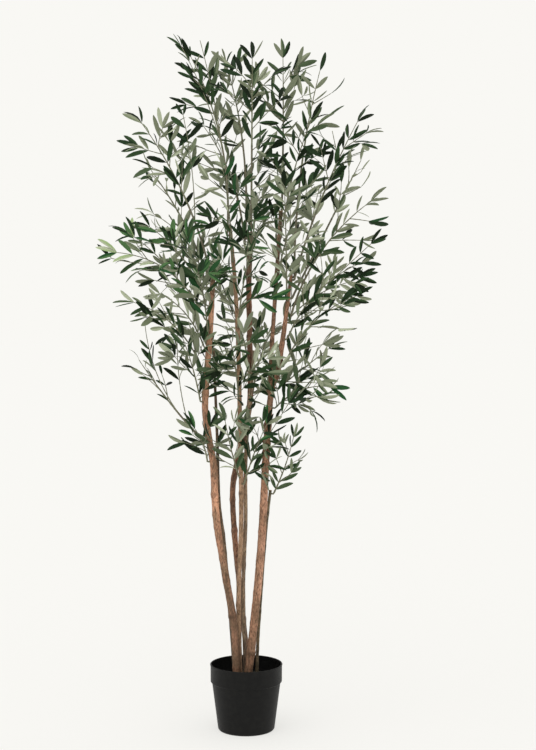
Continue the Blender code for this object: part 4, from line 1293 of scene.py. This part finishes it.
GREY_BLOTCHES = (0.3, 0.6, 0.4, 1.0)
BARK_ROUGH = (0.3, 0.7, 0.82, 0.60)
SPECK_TONE = tone(206, 172, 140)
HEAD_TONE = tone(112, 114, 92)
BARK_RELIEF = 0.0009


def bark_group():
    """Weathered bark: fibres and blotches between three tones, dark and pale specks, dark ragged knots,
    places rubbed to bare wood, a darker foot, painted shade of the crown over the upper part, a
    green-grey head, and the height and roughness that go with them."""
    tree, given, out = new_group(
        "weathered_bark", COLOUR_TOO, Pale="Color", Mid="Color", Dark="Color", Bare="Color",
        Foot="Float", Head="Float", Head_height="Float",
    )
    places = own_places(tree)
    fibres, blotches, specks = (noise(tree, places, *pattern) for pattern in (FIBRES, BLOTCHES, SPECKS))
    height = put(tree, "SeparateXYZ", Vector=places).outputs["Z"]
    bare = result(tree, "MULTIPLY", attribute(tree, "rubbed"), stretch(tree, fibres, *BARE_FIBRES))
    ragged = result(tree, "ADD", attribute(tree, "knot"), stretch(tree, blotches, *RAGGED_EDGE))
    above_foot = result(tree, "SUBTRACT", height, given["Foot"])
    below_top = result(tree, "SUBTRACT", given["Head_height"], height)
    grey = result(tree, "MULTIPLY", stretch(tree, below_top, *GREY_HEAD), given["Head"])
    grey = result(tree, "MULTIPLY", grey, stretch(tree, blotches, *GREY_BLOTCHES))
    colour = blend(tree, stretch(tree, blotches, *PALE_BLOTCHES), given["Mid"], given["Pale"])
    for share, layer in (
        (stretch(tree, fibres, *DARK_FIBRES), given["Dark"]),
        (bare, given["Bare"]),
        (stretch(tree, specks, *DARK_SPECKS), given["Dark"]),
        (stretch(tree, specks, *PALE_SPECKS), SPECK_TONE),
        (stretch(tree, ragged, *DARK_KNOTS), given["Dark"]),
        # painted shade of the crown: the upper poles blend towards the dark tone with height
        (stretch(tree, height, *PAINTED_CROWN_SHADE), given["Dark"]),
        (stretch(tree, above_foot, *DARKER_FOOT), given["Dark"]),
        (grey, HEAD_TONE),
    ):
        colour = blend(tree, share, colour, layer)
    set_input(tree, out["Color"], colour)
    set_input(tree, out["Roughness"], stretch(tree, fibres, *BARK_ROUGH))
    set_input(tree, out["Height"], sum_of(tree, (fibres, 1.0), (specks, 0.5), (blotches, 0.8)))
    return tree


# A blade's relief, in ranges and patterns as the bark's.
MIDRIB = (0.02, 0.09, 1.0, 0.0)  # by the way from the blade's middle, as a share of its width
VEINS_ALONG = 60.0  # how close the side veins stand, in radians over a blade's length
VEINS_SLANT = 28.0  # how steeply they rise from the midrib
VEINS = (0.55, 1.0)
BLADE_GRAIN = (420.0, 2.0)
BLADE_ROUGH = (0.3, 0.7, 0.42, 0.58)
FELT_ROUGH = 0.30  # how much rougher the underside is
BLADE_RELIEF = 0.00025


def blade_group():
    """A leaf's skin on its own map: a midrib, slanting side veins that rise from it, and a fine grain.
    Felt says how rough the side is, from 0 for the waxy upper side to 1 for the silver underside."""
    tree, given, out = new_group("veined_blade", RELIEF_ONLY, Felt="Float")
    places = put(tree, "UVMap", {"uv_map": "blade"}).outputs["UV"]
    parts = put(tree, "SeparateXYZ", Vector=places).outputs
    aside = result(tree, "ABSOLUTE", result(tree, "SUBTRACT", parts["X"], 0.5))
    run = sum_of(tree, (parts["Y"], VEINS_ALONG), (aside, -VEINS_SLANT))
    veins = stretch(tree, result(tree, "SINE", run), *VEINS)
    grain = noise(tree, own_places(tree), *BLADE_GRAIN)
    height = sum_of(tree, (stretch(tree, aside, *MIDRIB), 1.0), (veins, 0.3), (grain, 0.4))
    set_input(tree, out["Height"], height)
    rough = sum_of(tree, (given["Felt"], FELT_ROUGH), (stretch(tree, grain, *BLADE_ROUGH), 1.0))
    set_input(tree, out["Roughness"], rough)
    return tree


# Moulded plastic: how fine its patterns are beside its scale, and how they are stretched, as the bark's.
SOFT_BLOTCHES = (1.0, 5.0, 0.6)
SMALL_SPECKS = (7.0, 2.0)
WORN_BLOTCHES = (0.40, 0.68)
DARK_HOLLOWS = (0.46, 0.34, 0.0, 0.35)
HOLLOW_TONE = (0.01, 0.01, 0.008, 1)
MOULDED_GRAIN = (0.3, 0.7, -0.08, 0.08)


def moulded_group():
    """Moulded and painted plastic: two tones mixed by soft blotches, fine dark specks in the hollows, and
    a grain for the roughness and the relief."""
    tree, given, out = new_group(
        "moulded_plastic", COLOUR_TOO, Main="Color", Worn="Color", Scale="Float", Rough="Float"
    )
    scaled = put(tree, "VectorMath", {"operation": "SCALE"}, Vector=own_places(tree), Scale=given["Scale"])
    blotches = noise(tree, scaled.outputs[0], *SOFT_BLOTCHES)
    grain = noise(tree, scaled.outputs[0], *SMALL_SPECKS)
    colour = blend(tree, stretch(tree, blotches, *WORN_BLOTCHES), given["Main"], given["Worn"])
    colour = blend(tree, stretch(tree, grain, *DARK_HOLLOWS), colour, HOLLOW_TONE)
    rough = result(tree, "ADD", given["Rough"], stretch(tree, grain, *MOULDED_GRAIN))
    set_input(tree, out["Color"], colour)
    set_input(tree, out["Roughness"], rough)
    set_input(tree, out["Height"], result(tree, "ADD", grain, blotches))
    return tree


def finish(name, relief, gloss, strength=1.0):
    """A material whose shader takes its relief through a Bump node, its tree, and the sockets that an
    effect's colour, roughness and height go to."""
    made = bpy.data.materials.new(name)
    made.use_nodes = True
    tree = made.node_tree
    shader = tree.nodes["Principled BSDF"]
    shader.inputs["Specular IOR Level"].default_value = gloss
    bump = put(tree, "Bump", Strength=strength, Distance=relief)
    tree.links.new(bump.outputs["Normal"], shader.inputs["Normal"])
    sockets = {
        "Color": shader.inputs["Base Color"],
        "Roughness": shader.inputs["Roughness"],
        "Height": bump.inputs["Height"],
    }
    return made, tree, sockets


def wear(tree, sockets, group, **inputs):
    """Places a shared effect in a material with its own values, and links what it puts out."""
    made = tree.nodes.new("ShaderNodeGroup")
    made.node_tree = GROUPS[group]
    for key, value in inputs.items():
        set_input(tree, made.inputs[key], value)
    for output in made.outputs:
        tree.links.new(output, sockets[output.name])


def bark_material(name, bark, top):
    made, tree, sockets = finish(f"bark_{name}", BARK_RELIEF, gloss=0.28)
    wear(tree, sockets, "bark", Pale=bark.pale, Mid=bark.mid, Dark=bark.dark, Bare=bark.bare,
         Foot=bark.foot, Head=bark.head, Head_height=top)
    return made


PITH_RINGS = 5200.0  # how close the rings of the end grain stand, in radians a metre
RINGS_STRAY = (180.0, 4.0)  # how fine and how large their unevenness is
RING_RANGE = (-0.6, 1.0)
SAW_MARKS = (1500, 130, 130)
MARKS_RANGE = (0.5, 0.7, 0.0, 0.5)
SAWN_ROUGH = (0.3, 0.7, 0.75, 0.95)
BETWEEN_RINGS = tone(196, 160, 118)
ON_RINGS = tone(150, 112, 78)
IN_MARKS = tone(112, 84, 60)


def sawn_material():
    """End grain: rings round the pith by the distance from it, crossed by saw marks."""
    made, tree, sockets = finish("sawn_end", relief=0.0004, gloss=0.2)
    places = own_places(tree)
    uneven = noise(tree, places, RINGS_STRAY[0])
    run = sum_of(tree, (attribute(tree, "from_pith"), PITH_RINGS), (uneven, RINGS_STRAY[1]))
    rings = result(tree, "SINE", run)
    marks = noise(tree, places, SAW_MARKS)
    colour = blend(tree, stretch(tree, rings, *RING_RANGE), BETWEEN_RINGS, ON_RINGS)
    colour = blend(tree, stretch(tree, marks, *MARKS_RANGE), colour, IN_MARKS)
    set_input(tree, sockets["Color"], colour)
    set_input(tree, sockets["Roughness"], stretch(tree, marks, *SAWN_ROUGH))
    set_input(tree, sockets["Height"], marks)
    return made


def leaf_material(name, colour):
    """One tone of leaf: a plain base colour under the veined relief."""
    made, tree, sockets = finish(name, BLADE_RELIEF, gloss=0.12, strength=0.7)
    sockets["Color"].default_value = colour
    wear(tree, sockets, "blade", Felt=1.0 if name.startswith("silver") else 0.0)
    return made


def plastic_material(name, main, worn, scale, rough, relief, gloss):
    made, tree, sockets = finish(name, relief, gloss)
    wear(tree, sockets, "moulded", Main=main, Worn=worn, Scale=scale, Rough=rough)
    return made


GROUPS = {"bark": bark_group(), "blade": blade_group(), "moulded": moulded_group()}
MATERIALS = {
    "pot": plastic_material(
        "black_pot", tone(21, 21, 21), tone(27, 27, 26),
        scale=60, rough=0.50, relief=0.00006, gloss=0.12,
    ),
    "cement": plastic_material(
        "dark_cement", tone(44, 42, 39), tone(70, 67, 61),
        scale=130, rough=0.88, relief=0.0012, gloss=0.15,
    ),
    "bough": plastic_material(
        "bough_bark", tone(104, 100, 82), tone(140, 134, 114),
        scale=260, rough=0.66, relief=0.0006, gloss=0.25,
    ),
    "twig": plastic_material(
        "twig_skin", tone(108, 110, 86), tone(144, 144, 120),
        scale=300, rough=0.62, relief=0.0003, gloss=0.25,
    ),
    "sawn": sawn_material(),
}
LEAF_MATERIALS = {name: leaf_material(name, colour) for name, colour in LEAF_TONES.items()}


# ---------------------------------------------------------------- the tree

TREES = {name: tree_of(name) for name in TRUNKS}
REGIONS = list(dict.fromkeys(name.split("_")[0] for name in SPRAYS))

pot_piece()
cement_piece()
for name, trunk in TRUNKS.items():
    trunk_piece(name, trunk)

shoots = {region: [] for region in REGIONS}
leaves = {region: {} for region in REGIONS}
for name, spray, bough, stem, shoot in planned_sprays():
    region = name.split("_")[0]
    if bough:
        bough_piece(name, bough)
    spray_shoots, spray_leaves = grown(name, spray, stem, shoot)
    foot_shoots, foot_leaves = grown_on_foot(name, spray, bough or stem)
    shoots[region] += spray_shoots + foot_shoots
    leaves[region][name] = spray_leaves + foot_leaves
for region in REGIONS:
    nodes = [f"leaves_{name}" for name in leaves[region]]
    shoots_piece(region, shoots[region], nodes)
    leaves_piece(region, leaves[region], nodes)


# ---------------------------------------------------------------- stage, lights and camera

CAMERA_PLACE = (0.066, -4.2, 1.25)
CAMERA_DIP = math.radians(2.35)
CAMERA_LENS = 66.9
FLOOR_REACH = 60.0
PAPER = tone(249, 248, 244)
FLOOR_PAPER = (0.318, 0.318, 0.316, 1)
FLOOR_GLOW = 0.63  # the floor is lit through from below, so that shadows on it are faint


def floor():
    """A plain pale floor, level with the pot's foot."""
    corners = [(x * FLOOR_REACH, y * FLOOR_REACH, 0) for x, y in ((-1, -1), (1, -1), (1, 1), (-1, 1))]
    mesh = bpy.data.meshes.new("floor")
    mesh.from_pydata(corners, [], [(0, 1, 2, 3)])
    made = bpy.data.objects.new("floor", mesh)
    bpy.context.scene.collection.objects.link(made)
    paper = bpy.data.materials.new("paper")
    paper.use_nodes = True
    shader = paper.node_tree.nodes["Principled BSDF"]
    shader.inputs["Base Color"].default_value = FLOOR_PAPER
    shader.inputs["Emission Color"].default_value = PAPER
    shader.inputs["Emission Strength"].default_value = FLOOR_GLOW
    shader.inputs["Roughness"].default_value = 1
    shader.inputs["Specular IOR Level"].default_value = 0
    mesh.materials.append(paper)


def sun(name, strength, softness, lean, turn):
    """A lamp as soft as its softness in degrees, leaning from straight above and turned about Z."""
    data = bpy.data.lights.new(name, "SUN")
    data.energy = strength
    data.angle = math.radians(softness)
    made = bpy.data.objects.new(name, data)
    made.rotation_euler = (math.radians(lean), 0, math.radians(turn))
    bpy.context.scene.collection.objects.link(made)


def surroundings():
    world = bpy.data.worlds.new("paper_room")
    world.use_nodes = True
    back = world.node_tree.nodes["Background"]
    back.inputs["Color"].default_value = PAPER
    back.inputs["Strength"].default_value = 1.0
    bpy.context.scene.world = world


def camera():
    data = bpy.data.cameras.new("camera")
    data.lens = CAMERA_LENS
    made = bpy.data.objects.new("camera", data)
    made.location = CAMERA_PLACE
    made.rotation_euler = (math.pi / 2 - CAMERA_DIP, 0, 0)
    bpy.context.scene.collection.objects.link(made)
    bpy.context.scene.camera = made


floor()
surroundings()
sun("key", strength=0.6, softness=60, lean=34, turn=-24)
camera()
bpy.context.scene.view_settings.view_transform = "Standard"
